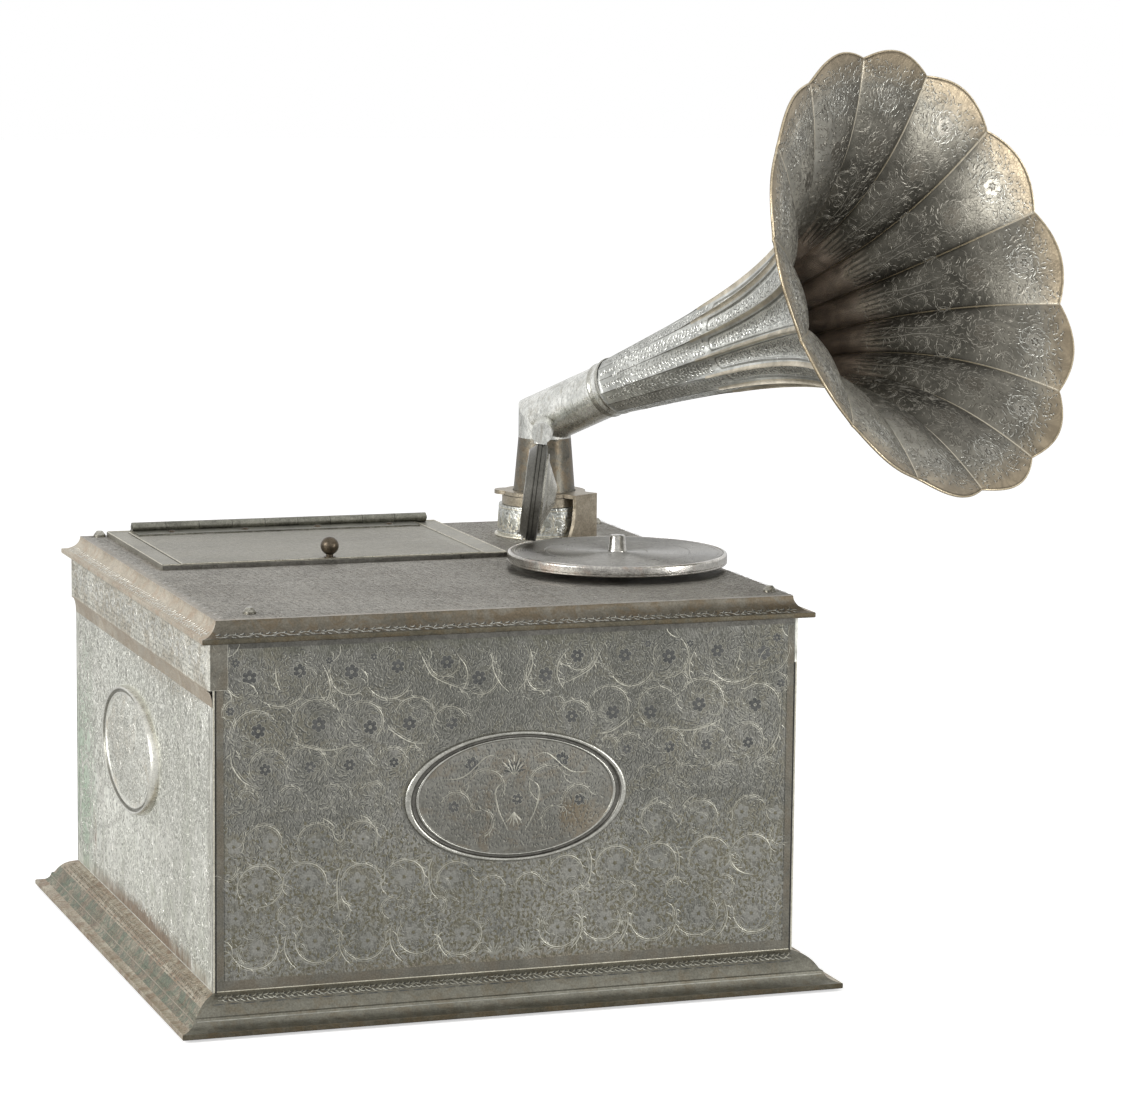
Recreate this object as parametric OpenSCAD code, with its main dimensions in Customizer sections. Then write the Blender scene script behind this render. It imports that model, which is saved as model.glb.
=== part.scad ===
// Table phonograph with a fourteen-petal horn: engraved sheet case, spring motor, swinging arm.
// Millimetres. The origin is on the ground under the middle of the case, +X right, +Y back, +Z up.

/* [Case] */
// Width of the case body
body_w = 350; // [300:1:420]
// Depth of the case body
body_d = 353; // [300:1:420]
// Height of the flat deck above the underside of the base
deck_h = 230.3; // [210:0.1:260]
// Thickness of the case sheet
sheet = 1.5; // [1:0.1:2.5]
// Height of the felt feet
foot_h = 1.6; // [1:0.1:4]
// Radius of a felt foot
foot_r = 7; // [5:0.5:10]
// Thickness of the bottom board
board_t = 8; // [5:0.5:12]

/* [Mouldings] */
// How far the base lip stands out from the body
base_out = 23.3; // [18:0.1:28]
// Height of the base moulding
base_h = 19.5; // [15:0.1:24]
// Thickness of the base lip
base_lip = 3.2; // [2:0.1:5]
// How far the cornice lip stands out from the body
cornice_out = 7.8; // [5:0.1:12]
// Height of the cornice from the deck down to its underside
cornice_h = 11.8; // [10:0.1:16]
// Thickness of the cornice lip
cornice_lip = 3; // [2:0.1:4]
// How far the cornice top reaches in over the walls
cornice_in = 2.3; // [1.6:0.1:4]
// Height inside the cornice at which it rests on the walls
cornice_seat = 4.3; // [3.5:0.1:5]
// Width of the ledge inside the cornice that the deck lies on
cornice_ledge = 6; // [5:0.5:6]
// Height of the engraved skirt band on the left side
skirt_h = 26.5; // [15:0.5:40]
// How far the skirt band stands proud
skirt_t = 3; // [1.5:0.5:5]

/* [Medallions] */
// Half width of an oval medallion
oval_a = 67; // [50:1:80]
// Half height of an oval medallion
oval_b = 38; // [25:1:50]
// Height of the medallion centres above the underside of the base
oval_z = 122; // [100:1:140]
// Width of the raised bead round a medallion
bead_w = 6.5; // [4:0.5:9]
// How far the bead stands proud
bead_t = 2.2; // [1:0.1:4]

/* [Lid] */
// Distance from the left side of the case to the lid
lid_in = 30.3; // [25:0.1:36]
// Width of the lid
lid_w = 191.4; // [170:0.1:195]
// Distance from the back of the case to the lid's hinge axis
hinge_in = 13.5; // [12:0.1:16]
// Distance from the lid's front edge to its hinge axis
lid_d = 146; // [130:1:149]
// Height of the lid's top above the deck
lid_t = 3; // [2:0.1:5]
// Gap round the lid
lid_gap = 0.4; // [0.3:0.1:1]
// Radius of the hinge barrel
barrel_r = 3; // [2.5:0.1:4]
// Radius of the hinge pin
pin_r = 1.4; // [1:0.1:1.8]
// Number of hinge knuckles
knuckles = 9; // [5:2:13]
// Radius of the lid knob
knob_r = 5.6; // [4:0.1:8]
// Depth of the compartment under the lid
tray_depth = 74; // [40:1:90]

/* [Turntable] */
// Sideways place of the spindle
spindle_x = 109.6; // [100:0.1:112]
// Front to back place of the spindle
spindle_y = -48.2; // [-52:0.1:-44]
// Radius of the turntable
platter_r = 66.6; // [55:0.1:68]
// Height of the turntable's top above the deck
platter_h = 11; // [10:0.1:14]
// Height of the turntable's rim
platter_rim = 5; // [3:0.1:6]
// Height of the spindle's tapered top
spindle_h = 10; // [6:0.5:14]
// Radius of the spindle's tip, a record's hole
spindle_tip_r = 3.65; // [3.4:0.01:3.7]
// Radius of the spindle's shaft
spindle_r = 3; // [2.5:0.1:3.2]

/* [Motor] */
// Sideways place of the spring barrel
barrel_x = 52; // [48:0.5:54]
// Front to back place of the spring barrel
barrel_y = -66; // [-70:0.5:-62]
// Height of the spring barrel
drum_h = 30; // [24:1:31]
// Thickness of a motor plate
plate_t = 2; // [1.5:0.1:3]
// Height between the motor plates
plate_gap = 62; // [60:0.5:66]
// Gap between the deck and the motor's top plate
hang = 13; // [10:0.5:16]
// Radius of a motor pillar
pillar_r = 4; // [3:0.5:5]
// Running clearance of a shaft in its bush
run = 0.05; // [0.02:0.01:0.09]
// Length of the crank arm between its two axes
crank_len = 70; // [50:1:80]
// Radius of the winding shaft
shaft_r = 4; // [3:0.5:5]
// Length of the crank handle
handle_len = 32; // [24:1:45]

/* [Turret] */
// Sideways place of the horn post
post_x = 116.5; // [112:0.5:122]
// Front to back place of the horn post
post_y = 108.8; // [105:0.1:112]
// Radius of the fixed collar at its top
collar_r = 29; // [26:0.5:32]
// Height of the fixed collar
collar_h = 20; // [14:0.5:26]
// Thickness of the swivel ring
ring_t = 5.6; // [4:0.1:8]
// Radius of the swivel ring
ring_r = 27; // [24:0.5:28]
// Radius of the post at its foot
post_foot_r = 20; // [18:0.1:22]
// Radius of the post's top, the elbow and the tube
tube_r = 16.9; // [15:0.1:18]
// Height of the post above the swivel ring
post_h = 37; // [30:0.5:38]
// Height of the elbow's corner above the deck
elbow_h = 75; // [70:0.5:85]
// Thickness of the bracket strap
strap_t = 2.5; // [2:0.1:4]

/* [Horn] */
// Direction that the horn points in, seen from above
horn_az = -61; // [-80:1:-40]
// Rise of the tube between the elbow and the horn
tube_rise = 22.8; // [10:0.1:35]
// Length of that tube from the elbow's corner
tube_len = 65.3; // [55:0.1:80]
// Rise of the horn
horn_rise = 19.6; // [10:0.1:30]
// Length of the horn to the corners between its petals
horn_len = 251.4; // [230:0.1:256]
// Number of petals
petals = 14; // [10:1:18]
// How far a petal reaches out past the corners beside it
petal_out = 7; // [3:0.5:9]
// Turn of the petals about the horn's axis
petal_turn = 1.5; // [-12:0.5:12]
// Thickness of the horn's sheet
horn_t = 0.8; // [0.6:0.1:1.5]

/* [Sound box] */
// Direction of the tone arm, seen from above
arm_az = 250.1; // [240:0.1:256]
// Height of the tone arm's root above the deck
arm_h = 70.1; // [68:0.1:73]
// Rise of the tone arm
arm_rise = 4.2; // [2:0.1:6]
// Distance from the post's axis to the sound box, along the arm
arm_len = 121.7; // [110:0.1:128]
// Radius of the tone arm
arm_r = 6.6; // [5.6:0.1:8]
// Wall of the tone arm
arm_t = 1.6; // [1:0.1:2]
// Sideways lean of the sound box
box_tilt = 6.5; // [0:0.5:10]
// Distance from the arm's axis down to the middle of the sound box
box_drop = 36.4; // [34:0.1:40]
// Radius of the sound box
box_r = 29.7; // [26:0.1:31]

/* [Hidden] */
$fn = 72;

// A hair of extra length that keeps a cut from ending flush with the face it opens
cut = 1;
// The gap left between faces that pass each other
gap = 0.3;
// Half of the fine joint between two mitred rails
seam = 0.1;
half_w = body_w / 2;
half_d = body_d / 2;
base_z = foot_h;
deck_z = base_z + deck_h;
deck_under = deck_z - sheet;
cornice_z = deck_z - cornice_h;
panel_top = cornice_z + cornice_seat;

hinge_y = half_d - hinge_in;
lid_front = hinge_y - lid_d;
lid_left = -half_w + lid_in;
hinge_z = deck_z + lid_t + barrel_r + 0.1;
strip_left = 11.8;
strip_right = 14.3;
strip_back = 5;
lid_right = lid_left + lid_w;
leaf_t = 1;
leaf_w = 20;
knob_x = lid_left + 93.8;
knob_z = deck_z + lid_t + 1.6 + knob_r;
// Each deck screw's distances from the nearest side and end of the case, and the corner post it enters
screw_in = [[26.8, 21.7], [10.2, 19.3], [13.6, 8.1], [9.9, 31.6]];
screw_r = 1.6;
head_r = 3.8;
post_size = [[30, 26], [14, 22], [16, 12], [12, 34]];
function corner_x(i) = i % 2 == 0 ? -1 : 1;
function corner_y(i) = i < 2 ? -1 : 1;
screw_at = [for (i = [0:3]) [corner_x(i) * (half_w - screw_in[i][0]), corner_y(i) * (half_d - screw_in[i][1])]];
foot_at = [half_w - 4, half_d - 4];
tray_left = lid_left + 6;
tray_right = lid_right - 6;
tray_front = lid_front + 6;
tray_back = hinge_y - 15;

// Heights in the motor, measured down from its top plate
top_plate_z = deck_z - sheet - hang - plate_t;
low_plate_z = top_plate_z - plate_gap - plate_t;
plate_left = 8;
plate_right = 150;
plate_front = -112;
plate_back = 8;
pillar_in = 8;
pillar_at = [for (x = [plate_left + pillar_in, plate_right - pillar_in],
                  y = [plate_front + pillar_in, plate_back - pillar_in]) [x, y]];
spindle_at = [spindle_x, spindle_y];
barrel_at = [barrel_x, barrel_y];
// Teeth and modules of the train
great_teeth = 96;
low_teeth = 16;
wheel_teeth = 72;
spindle_teeth = 12;
speed_teeth = 60;
governor_teeth = 12;
train_m = 0.8;
speed_m = 0.6;
reach_low = train_m * (great_teeth + low_teeth) / 2;
reach_high = train_m * (wheel_teeth + spindle_teeth) / 2;
reach_speed = speed_m * (speed_teeth + governor_teeth) / 2;
// The intermediate arbor stands where both of its meshes are the right distance away
span = norm(spindle_at - barrel_at);
span_dir = (spindle_at - barrel_at) / span;
span_part = (reach_low ^ 2 - reach_high ^ 2 + span ^ 2) / (2 * span);
span_side = sqrt(reach_low ^ 2 - span_part ^ 2);
inter_at = barrel_at + span_part * span_dir + span_side * [span_dir[1], -span_dir[0]];
governor_bearing = 53;
governor_at = spindle_at + reach_speed * [cos(governor_bearing), sin(governor_bearing)];
gear_t = 3;
drum_r = 36.5;
drum_wall = 1.5;
great_z = low_plate_z + plate_t + 38;
drum_z = great_z + gear_t - drum_h;
inter_wheel_z = great_z + 10;
speed_z = low_plate_z + plate_t + 24;
arbor_r = 4;
inter_r = 2.5;
governor_r = 1.5;
governor_out = 14;
disc_r = 12;
disc_z = top_plate_z - 6.5;
// The winding gears hang under the bottom plate
crown_teeth = 40;
wind_teeth = 12;
wind_m = 1.25;
crown_r = wind_m * crown_teeth / 2;
wind_r = wind_m * wind_teeth / 2;
crown_tooth = 2 * wind_m;
ratchet_z = low_plate_z - 5;
ratchet_r = 17;
ratchet_tooth = 2;
ratchet_turn = 14.5;
// The click's pivot, its rest angle and the reach of its nose past the arm's middle
pawl_out = ratchet_r + 6;
pawl_turn = 114;
nose_at = pawl_out * cos(180 - pawl_turn) - 0.3;
pawl_nose = pawl_out * sin(180 - pawl_turn) - ratchet_r - gap;
crown_z = ratchet_z - 6;
shaft_z = crown_z - crown_tooth / 2 - wind_r;
pinion_t = 3.6;
shaft_start = barrel_y + crown_r - 7;
shaft_end = half_d + 20;
lug_y = -18;
bush_r = 10;
crank_t = 6;
handle_r = 8;
handle_pin_r = 3;
// The speed lever turns on a stud under the top plate
lever_at = [92, -8];
lever_w = 6;
lever_end = [tray_right - 4.7, tray_front + 27];
lever_len = norm(lever_end - lever_at);
lever_out = norm(governor_at - lever_at);
lever_clear = 0.6;

post_z = deck_z + collar_h + gap + ring_t;
ring_z = deck_z + collar_h + gap;
strap_z = post_z + gap;
elbow_z = deck_z + elbow_h;
spigot_r = 15;
tube_bore = tube_r - 1.4;
// The inclined leg of the elbow is this much larger, so that the two make a plain seam
elbow_step = 0.1;
bracket_az = -60;
leg_r = collar_r + 3;
leg_w = 24;
tab_len = 32;
tab_r = 9;
cusp_r = horn_r(horn_len);
lip_r = cusp_r + petal_out;
horn_start = 1.2;
horn_steps = 22;
box_half = 6.2;
stylus_tip = (arm_h + arm_len * sin(arm_rise) - platter_h - gap) / (cos(box_tilt) * cos(arm_rise));
spigot_len = 10;
throat_r = box_drop - box_r - gap;

// Radius of the horn's outside at a distance s from its small end
function horn_r(s) = 18.2 + 0.092 * s + 0.355 * (exp(s / 45.2) - 1);
// Slope of that outline
function horn_slope(s) = 0.092 + 0.355 / 45.2 * exp(s / 45.2);
// Distance along the horn where its outside reaches radius r, by halving
function horn_at(r, lo = 0, hi = 300, n = 30) =
    n == 0 ? (lo + hi) / 2 :
    horn_r((lo + hi) / 2) < r ? horn_at(r, (lo + hi) / 2, hi, n - 1) : horn_at(r, lo, (lo + hi) / 2, n - 1);
function bearing(a, b) = atan2(b[1] - a[1], b[0] - a[0]);
// Outline of a spur gear with a tooth on the +X axis
function gear_outline(teeth, m) = [
    for (i = [0:teeth - 1], k = [[-0.27, -1.15], [-0.11, 0.9], [0.11, 0.9], [0.27, -1.15]])
        let (a = (i + k[0]) * 360 / teeth, r = m * (teeth / 2 + k[1])) r * [cos(a), sin(a)]
];
// Outline of a ratchet wheel with one steep and one sloping flank on each tooth
function ratchet_outline(teeth, r, depth) = [
    for (i = [0:teeth - 1], k = [[-0.5, depth], [0.42, 0], [0.5, depth]])
        let (a = (i + k[0]) * 360 / teeth) (r - k[1]) * [cos(a), sin(a)]
];
function ellipse(a, b, n = 64) = [for (i = [0:n - 1]) [a * cos(i * 360 / n), b * sin(i * 360 / n)]];
// Section of the base moulding as [stand-out, height], drawn in by t for its hollow
function base_section(t = 0) = concat(
    [[t == 0 ? 0 : t, t], [base_out - t, t], [base_out - t, base_lip - t / 2]],
    [for (i = [1:5]) let (a = i * 15)
        [base_out - t - 8.3 * sin(a) / sin(75), base_lip - t / 2 + 4 * (1 - cos(a)) / (1 - cos(75))]],
    [[base_out - t - 8.9, base_lip + 6.2 - t], [base_out - t - 10.3, base_lip + 6.4 - t]],
    [for (i = [1:(t == 0 ? 6 : 5)]) let (f = i / 6, bulge = 2 * sin(180 * f))
        [max(t, (base_out - 10.3) * (1 - f) + bulge * 0.6 - t), base_lip + 6.4 + (base_h - base_lip - 6.4) * f
            + bulge * 0.8 - t]]
);
// Section of the cornice, with its cove, the deck's ledge and the walls' seat
function cornice_section() = concat(
    [[0, 0], [cornice_out, 0], [cornice_out, cornice_lip]],
    [for (i = [1:8]) let (a = 90 - i * 11.25)
        [-cornice_in + (cornice_out + cornice_in) * (1 - cos(a)),
            cornice_h - (cornice_h - cornice_lip) * sin(a)]],
    [[-cornice_in, cornice_h - sheet], [-cornice_ledge, cornice_h - sheet], [-cornice_ledge, cornice_seat],
        [0, cornice_seat]]
);
petal_edge = [
    for (i = [0:petals - 1], k = [0:7]) let (a = (i + k / 8) * 360 / petals, r = cusp_r + petal_out * sin(k * 22.5))
        r * [cos(a), sin(a)]
];

module at_turret() {
    translate([post_x, post_y, 0]) children();
}

module at_tube() {
    translate([post_x, post_y, elbow_z]) rotate([0, 90 - tube_rise, horn_az]) children();
}

module at_horn() {
    at_tube() translate([0, 0, tube_len]) rotate([0, tube_rise - horn_rise, 0]) children();
}

module at_arm() {
    translate([post_x, post_y, deck_z + arm_h]) rotate([-arm_rise, 0, arm_az + 90]) children();
}

module at_box() {
    at_arm() translate([0, -arm_len, 0]) rotate([0, box_tilt, 0]) children();
}

module box_axis() {
    at_box() translate([0, 0, -box_drop]) rotate([0, 90, 0]) children();
}

module at_shaft() {
    translate([barrel_x, 0, shaft_z]) rotate([-90, 0, 0]) children();
}

module gear(teeth, m, h, bore) {
    difference() {
        linear_extrude(h) polygon(gear_outline(teeth, m));
        translate([0, 0, -cut]) cylinder(r = bore, h = h + 2 * cut);
    }
}

module tube(r, bore, h) {
    difference() {
        cylinder(r = r, h = h);
        translate([0, 0, -cut]) cylinder(r = bore, h = h + 2 * cut);
    }
}

// One side of a moulding with mitred ends, its back on the line at half_deep
module rail(section, half_long, half_deep, out, inward) {
    long = half_long + out + cut - seam;
    deep = half_deep + out + cut;
    in_long = half_long - inward - cut - seam;
    in_deep = half_deep - inward - cut;
    intersection() {
        translate([0, -half_deep, 0]) rotate([90, 0, 90])
            linear_extrude(2 * long, center = true) polygon([for (p = section) [-p[0], p[1]]]);
        linear_extrude(40) polygon([[-long, -deep], [long, -deep], [in_long, -in_deep], [-in_long, -in_deep]]);
    }
}

module rails(section, out, inward, hollow = []) {
    for (s = [0, 180], turned = [0, 1]) {
        long = turned == 0 ? half_w : half_d;
        deep = turned == 0 ? half_d : half_w;
        rotate(s + 90 * turned) difference() {
            rail(section, long, deep, out, inward);
            if (len(hollow) > 0) rail(hollow, long + cut, deep, out, inward);
        }
    }
}

// A felt foot near each corner and a larger one under the middle of the board
module felt_feet() {
    color("#2b2825") {
        for (x = [-1, 1], y = [-1, 1]) translate([x * foot_at[0], y * foot_at[1], 0]) cylinder(r = foot_r, h = foot_h);
        cylinder(r = 2 * foot_r, h = foot_h);
    }
}

module bottom_board() {
    color("#7b5a3c") translate([-half_w + sheet, -half_d + sheet, base_z])
        cube([body_w - 2 * sheet, body_d - 2 * sheet, board_t]);
}

module base_rails() {
    color("#8f8c7c") translate([0, 0, base_z]) rails(base_section(), base_out, 0, base_section(sheet));
}

module front_panel() {
    color("#85857b") translate([-half_w + sheet, -half_d, base_z])
        cube([body_w - 2 * sheet, sheet, panel_top - base_z]);
}

module back_panel() {
    color("#85857b") difference() {
        translate([-half_w + sheet, half_d - sheet, base_z])
            cube([body_w - 2 * sheet, sheet, panel_top - base_z]);
        at_shaft() cylinder(r = shaft_r + 3, h = body_d);
    }
}

module left_panel() {
    color("#b4b2a6") translate([-half_w, -half_d, base_z]) cube([sheet, body_d, panel_top - base_z]);
}

module right_panel() {
    color("#85857b") translate([half_w - sheet, -half_d, base_z]) cube([sheet, body_d, panel_top - base_z]);
}

module corner_posts() {
    stand = cornice_ledge + 0.2;
    color("#7b5a3c") for (i = [0:3]) {
        w = post_size[i][0];
        d = post_size[i][1];
        difference() {
            translate([corner_x(i) * (half_w - stand - w / 2), corner_y(i) * (half_d - stand - d / 2), base_z + board_t])
                translate([-w / 2, -d / 2, 0]) cube([w, d, deck_under - base_z - board_t]);
            translate([screw_at[i][0], screw_at[i][1], deck_under - 16]) cylinder(r = screw_r, h = 20, $fn = 24);
        }
    }
}

module cornice_rails() {
    color("#9a968a") translate([0, 0, cornice_z]) rails(cornice_section(), cornice_out, cornice_ledge);
}

module skirt_band() {
    color("#b4b2a6") translate([-half_w - skirt_t, -half_d - skirt_t, cornice_z - skirt_h]) difference() {
        cube([skirt_t + 8, body_d + skirt_t, skirt_h]);
        translate([skirt_t, skirt_t, -cut]) cube([body_w, body_d + cut, skirt_h + 2 * cut]);
    }
}

// An oval boss whose back lies on the XY plane
module medallion() {
    difference() {
        linear_extrude(bead_t) polygon(ellipse(oval_a, oval_b));
        translate([0, 0, 0.9]) linear_extrude(bead_t) polygon(ellipse(oval_a - bead_w, oval_b - bead_w));
    }
    linear_extrude(bead_t + 0.8) difference() {
        polygon(ellipse(oval_a - bead_w / 4, oval_b - bead_w / 4));
        polygon(ellipse(oval_a - bead_w * 3 / 4, oval_b - bead_w * 3 / 4));
    }
}

module front_medallion() {
    color("#9c998a") translate([3, -half_d, base_z + oval_z]) rotate([90, 0, 0]) medallion();
}

module side_medallions() {
    color("#b4b2a6") for (s = [-1, 1])
        translate([s * half_w, 17, base_z + oval_z]) rotate([90, 0, s * 90]) medallion();
}

module deck_plate() {
    w = body_w - 2 * cornice_in;
    d = body_d - 2 * cornice_in;
    color("#8a857d") difference() {
        translate([-w / 2, -d / 2, deck_under]) cube([w, d, sheet]);
        translate([tray_left, tray_front, deck_under - cut])
            cube([tray_right - tray_left, tray_back - tray_front, sheet + 2 * cut]);
        translate([spindle_x, spindle_y, deck_under - cut]) cylinder(r = 8, h = sheet + 2 * cut);
        for (p = screw_at) translate([p[0], p[1], deck_under - cut]) cylinder(r = screw_r, h = sheet + 2 * cut, $fn = 24);
    }
}

module deck_screws() {
    color("#777269") for (p = screw_at) translate([p[0], p[1], 0]) {
        translate([0, 0, deck_under - 14]) cylinder(r = screw_r, h = sheet + 14, $fn = 24);
        translate([0, 0, deck_z]) cylinder(r = head_r, h = 1.4, $fn = 36);
        translate([0, 0, deck_z + 1.4]) cylinder(r1 = head_r, r2 = head_r / 2, h = 2.4, $fn = 36);
    }
}

module lid_frame() {
    left = lid_left - lid_gap - strip_left;
    right = lid_right + lid_gap + strip_right;
    back = hinge_y + strip_back;
    color("#8a857d") difference() {
        translate([left, lid_front, deck_z]) cube([right - left, back - lid_front, lid_t]);
        translate([lid_left - lid_gap, lid_front - cut, deck_z - cut])
            cube([lid_w + 2 * lid_gap, lid_d - 2.5 + cut, lid_t + 2 * cut]);
    }
}

module compartment_tray() {
    w = tray_right - tray_left;
    d = tray_back - tray_front;
    color("#5d4631") translate([tray_left, tray_front, deck_under - tray_depth]) difference() {
        cube([w, d, tray_depth]);
        translate([sheet, sheet, sheet]) cube([w - 2 * sheet, d - 2 * sheet, tray_depth]);
        translate([w - 2 * sheet, 3, disc_z - 3 - deck_under + tray_depth]) cube([3 * sheet, 38, 8]);
    }
}

// Knuckles on the hinge axis: every second one, starting with number first
module knuckle_row(first) {
    pitch = (lid_w + 4) / knuckles;
    translate([lid_left + 3, hinge_y, hinge_z]) rotate([0, 90, 0]) for (i = [first:2:knuckles - 1])
        translate([0, 0, i * pitch]) difference() {
            union() {
                cylinder(r = barrel_r, h = pitch - gap, $fn = 36);
                children();
            }
            translate([0, 0, -cut]) cylinder(r = pin_r + run, h = pitch + 2 * cut, $fn = 36);
        }
}

// Tab that joins a knuckle to its leaf, on the side given
module knuckle_tab(side) {
    pitch = (lid_w + 4) / knuckles;
    translate([barrel_r + 0.1 - leaf_t, side > 0 ? 0 : -barrel_r - 0.5, 0])
        cube([leaf_t, barrel_r + 0.5, pitch - gap]);
}

module frame_hinge_leaf() {
    color("#57524b") {
        knuckle_row(0) knuckle_tab(1);
        translate([lid_left + 3, hinge_y + barrel_r + 0.4, deck_z + lid_t])
            cube([lid_w + 4 - gap, strip_back - barrel_r - 0.4, leaf_t]);
    }
}

module lid_hinge_leaf() {
    color("#57524b") {
        knuckle_row(1) knuckle_tab(-1);
        difference() {
            translate([lid_left + 3, hinge_y - leaf_w, deck_z + lid_t]) cube([lid_w - 6, leaf_w - barrel_r - 0.4, leaf_t]);
            for (i = [0:3]) translate([lid_left + 26 + i * 48, hinge_y - 12, deck_z + lid_t - cut])
                cylinder(r = 1.5, h = leaf_t + 2 * cut, $fn = 24);
        }
    }
}

module hinge_rivets() {
    color("#8e887c") for (i = [0:3]) translate([lid_left + 26 + i * 48, hinge_y - 12, deck_z + lid_t]) {
        cylinder(r = 1.5, h = leaf_t, $fn = 24);
        translate([0, 0, leaf_t]) cylinder(r1 = 2.6, r2 = 1.2, h = 1.1, $fn = 24);
    }
}

module hinge_pin() {
    color("#8e887c") translate([lid_left + 2.5, hinge_y, hinge_z]) rotate([0, 90, 0])
        cylinder(r = pin_r, h = lid_w + 5, $fn = 36);
}

module lid() {
    color("#8a857d") difference() {
        translate([lid_left, lid_front, deck_z + gap]) cube([lid_w, lid_d - 3, lid_t - gap]);
        translate([lid_left + 2, lid_front + 2, deck_z]) cube([lid_w - 4, lid_d - 7, lid_t - sheet]);
    }
}

module lid_knob() {
    color("#4d4437") translate([knob_x, lid_front + knob_r + 1, deck_z + lid_t]) {
        cylinder(r = 3.6, h = 0.8, $fn = 36);
        cylinder(r = 2.2, h = 4, $fn = 36);
        translate([0, 0, knob_z - deck_z - lid_t]) sphere(r = knob_r);
    }
}

module motor_plate(z) {
    translate([plate_left, plate_front, z]) cube([plate_right - plate_left, plate_back - plate_front, plate_t]);
}

// Bearing holes that both plates share
module bearing_holes(z) {
    for (b = [[barrel_at, arbor_r], [spindle_at, spindle_r], [inter_at, inter_r], [governor_at, governor_r]])
        translate([b[0][0], b[0][1], z - cut]) cylinder(r = b[1] + run, h = plate_t + 2 * cut);
}

module motor_top_plate() {
    color("#b09a63") {
        difference() {
            motor_plate(top_plate_z);
            bearing_holes(top_plate_z);
        }
        translate([lever_at[0], lever_at[1], disc_z - 3]) {
            cylinder(r = 2.5, h = top_plate_z - disc_z + 3);
            cylinder(r = 4.5, h = 2);
        }
    }
}

module motor_bottom_plate() {
    color("#b09a63") {
        difference() {
            motor_plate(low_plate_z);
            bearing_holes(low_plate_z);
        }
        difference() {
            translate([barrel_x - 9, lug_y, shaft_z - 9]) cube([18, 8, low_plate_z - shaft_z + 9]);
            at_shaft() translate([0, 0, -half_d]) cylinder(r = shaft_r + run, h = body_d);
        }
        translate([barrel_x + pawl_out, barrel_y, ratchet_z - 2]) {
            cylinder(r = 2, h = low_plate_z - ratchet_z + 2, $fn = 36);
            cylinder(r = 3.4, h = 1.2, $fn = 36);
        }
    }
}

module motor_pillars() {
    color("#9a8653") for (p = pillar_at)
        translate([p[0], p[1], low_plate_z + plate_t]) cylinder(r = pillar_r, h = plate_gap);
}

// Studs under the deck that carry the motor, each with its nut under the top plate's corner
module motor_hangers() {
    color("#8e8b85") for (p = pillar_at)
        translate([p[0], p[1], top_plate_z + plate_t]) cylinder(r = pillar_r + 1, h = hang);
}

module spring_barrel() {
    color("#a8935a") translate([barrel_x, barrel_y, 0]) difference() {
        union() {
            translate([0, 0, drum_z]) cylinder(r = drum_r, h = drum_h);
            rotate(bearing(barrel_at, inter_at)) translate([0, 0, great_z])
                gear(great_teeth, train_m, gear_t, arbor_r + run);
        }
        translate([0, 0, drum_z + drum_wall]) cylinder(r = drum_r - drum_wall, h = drum_h);
        translate([0, 0, drum_z - cut]) cylinder(r = arbor_r + run, h = drum_h + 2 * cut);
    }
}

module barrel_cover() {
    color("#b8a568") translate([barrel_x, barrel_y, drum_z + drum_h - drum_wall])
        tube(drum_r - drum_wall, arbor_r + run, drum_wall);
}

// The flat mainspring, wound from the arbor's hook out to the drum's wall
module mainspring() {
    turns = 9;
    steps = 24;
    inner = arbor_r + 3;
    outer = drum_r - drum_wall - 0.35;
    strip = 0.7;
    spiral = [for (i = [0:turns * steps]) let (f = i / (turns * steps)) [inner + (outer - inner) * f, f * turns * 360]];
    color("#4b5157") translate([barrel_x, barrel_y, drum_z + drum_wall + gap])
        linear_extrude(drum_h - 2 * drum_wall - 2 * gap) polygon(concat(
            [for (p = spiral) p[0] * [cos(p[1]), sin(p[1])]],
            [for (i = [turns * steps:-1:0]) let (p = spiral[i]) (p[0] - strip) * [cos(p[1]), sin(p[1])]]));
}

module winding_arbor() {
    color("#9ba0a4") translate([barrel_x, barrel_y, 0]) {
        translate([0, 0, crown_z - 2]) cylinder(r = arbor_r, h = top_plate_z + plate_t - crown_z + 2);
        translate([0, 0, drum_z + drum_wall + gap]) cylinder(r = arbor_r + 2, h = drum_h - 2 * drum_wall - 2 * gap);
    }
}

module crown_wheel() {
    tooth = 0.4 * PI * wind_m;
    color("#b8a568") translate([barrel_x, barrel_y, crown_z]) {
        tube(crown_r + 2.5, arbor_r, 3);
        rotate(90 + 180 / crown_teeth) for (i = [0:crown_teeth - 1]) rotate(i * 360 / crown_teeth)
            translate([crown_r - 2, 0, 0]) rotate([90, 0, 90]) linear_extrude(4)
                polygon([[-tooth * 0.65, 0], [tooth * 0.65, 0], [tooth * 0.3, -crown_tooth], [-tooth * 0.3, -crown_tooth]]);
    }
}

module ratchet_wheel() {
    color("#9ba0a4") translate([barrel_x, barrel_y, ratchet_z]) difference() {
        rotate(ratchet_turn) linear_extrude(3) polygon(ratchet_outline(crown_teeth, ratchet_r, ratchet_tooth));
        translate([0, 0, -cut]) cylinder(r = arbor_r, h = 5);
    }
}

// Click that drops into the ratchet wheel, drawn lifted just clear of the teeth
module pawl() {
    color("#6d7276") translate([barrel_x + pawl_out, barrel_y, ratchet_z + 0.5]) difference() {
        union() {
            cylinder(r = 4, h = 2, $fn = 36);
            rotate(pawl_turn) linear_extrude(2) polygon([[0, -1.5], [12, -1.5], [12, 1.5], [10.4, 1.5],
                [nose_at + 0.4, pawl_nose], [nose_at, pawl_nose], [nose_at, 1.5], [0, 1.5]]);
        }
        translate([0, 0, -cut]) cylinder(r = 2 + run, h = 5, $fn = 36);
    }
}

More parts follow.
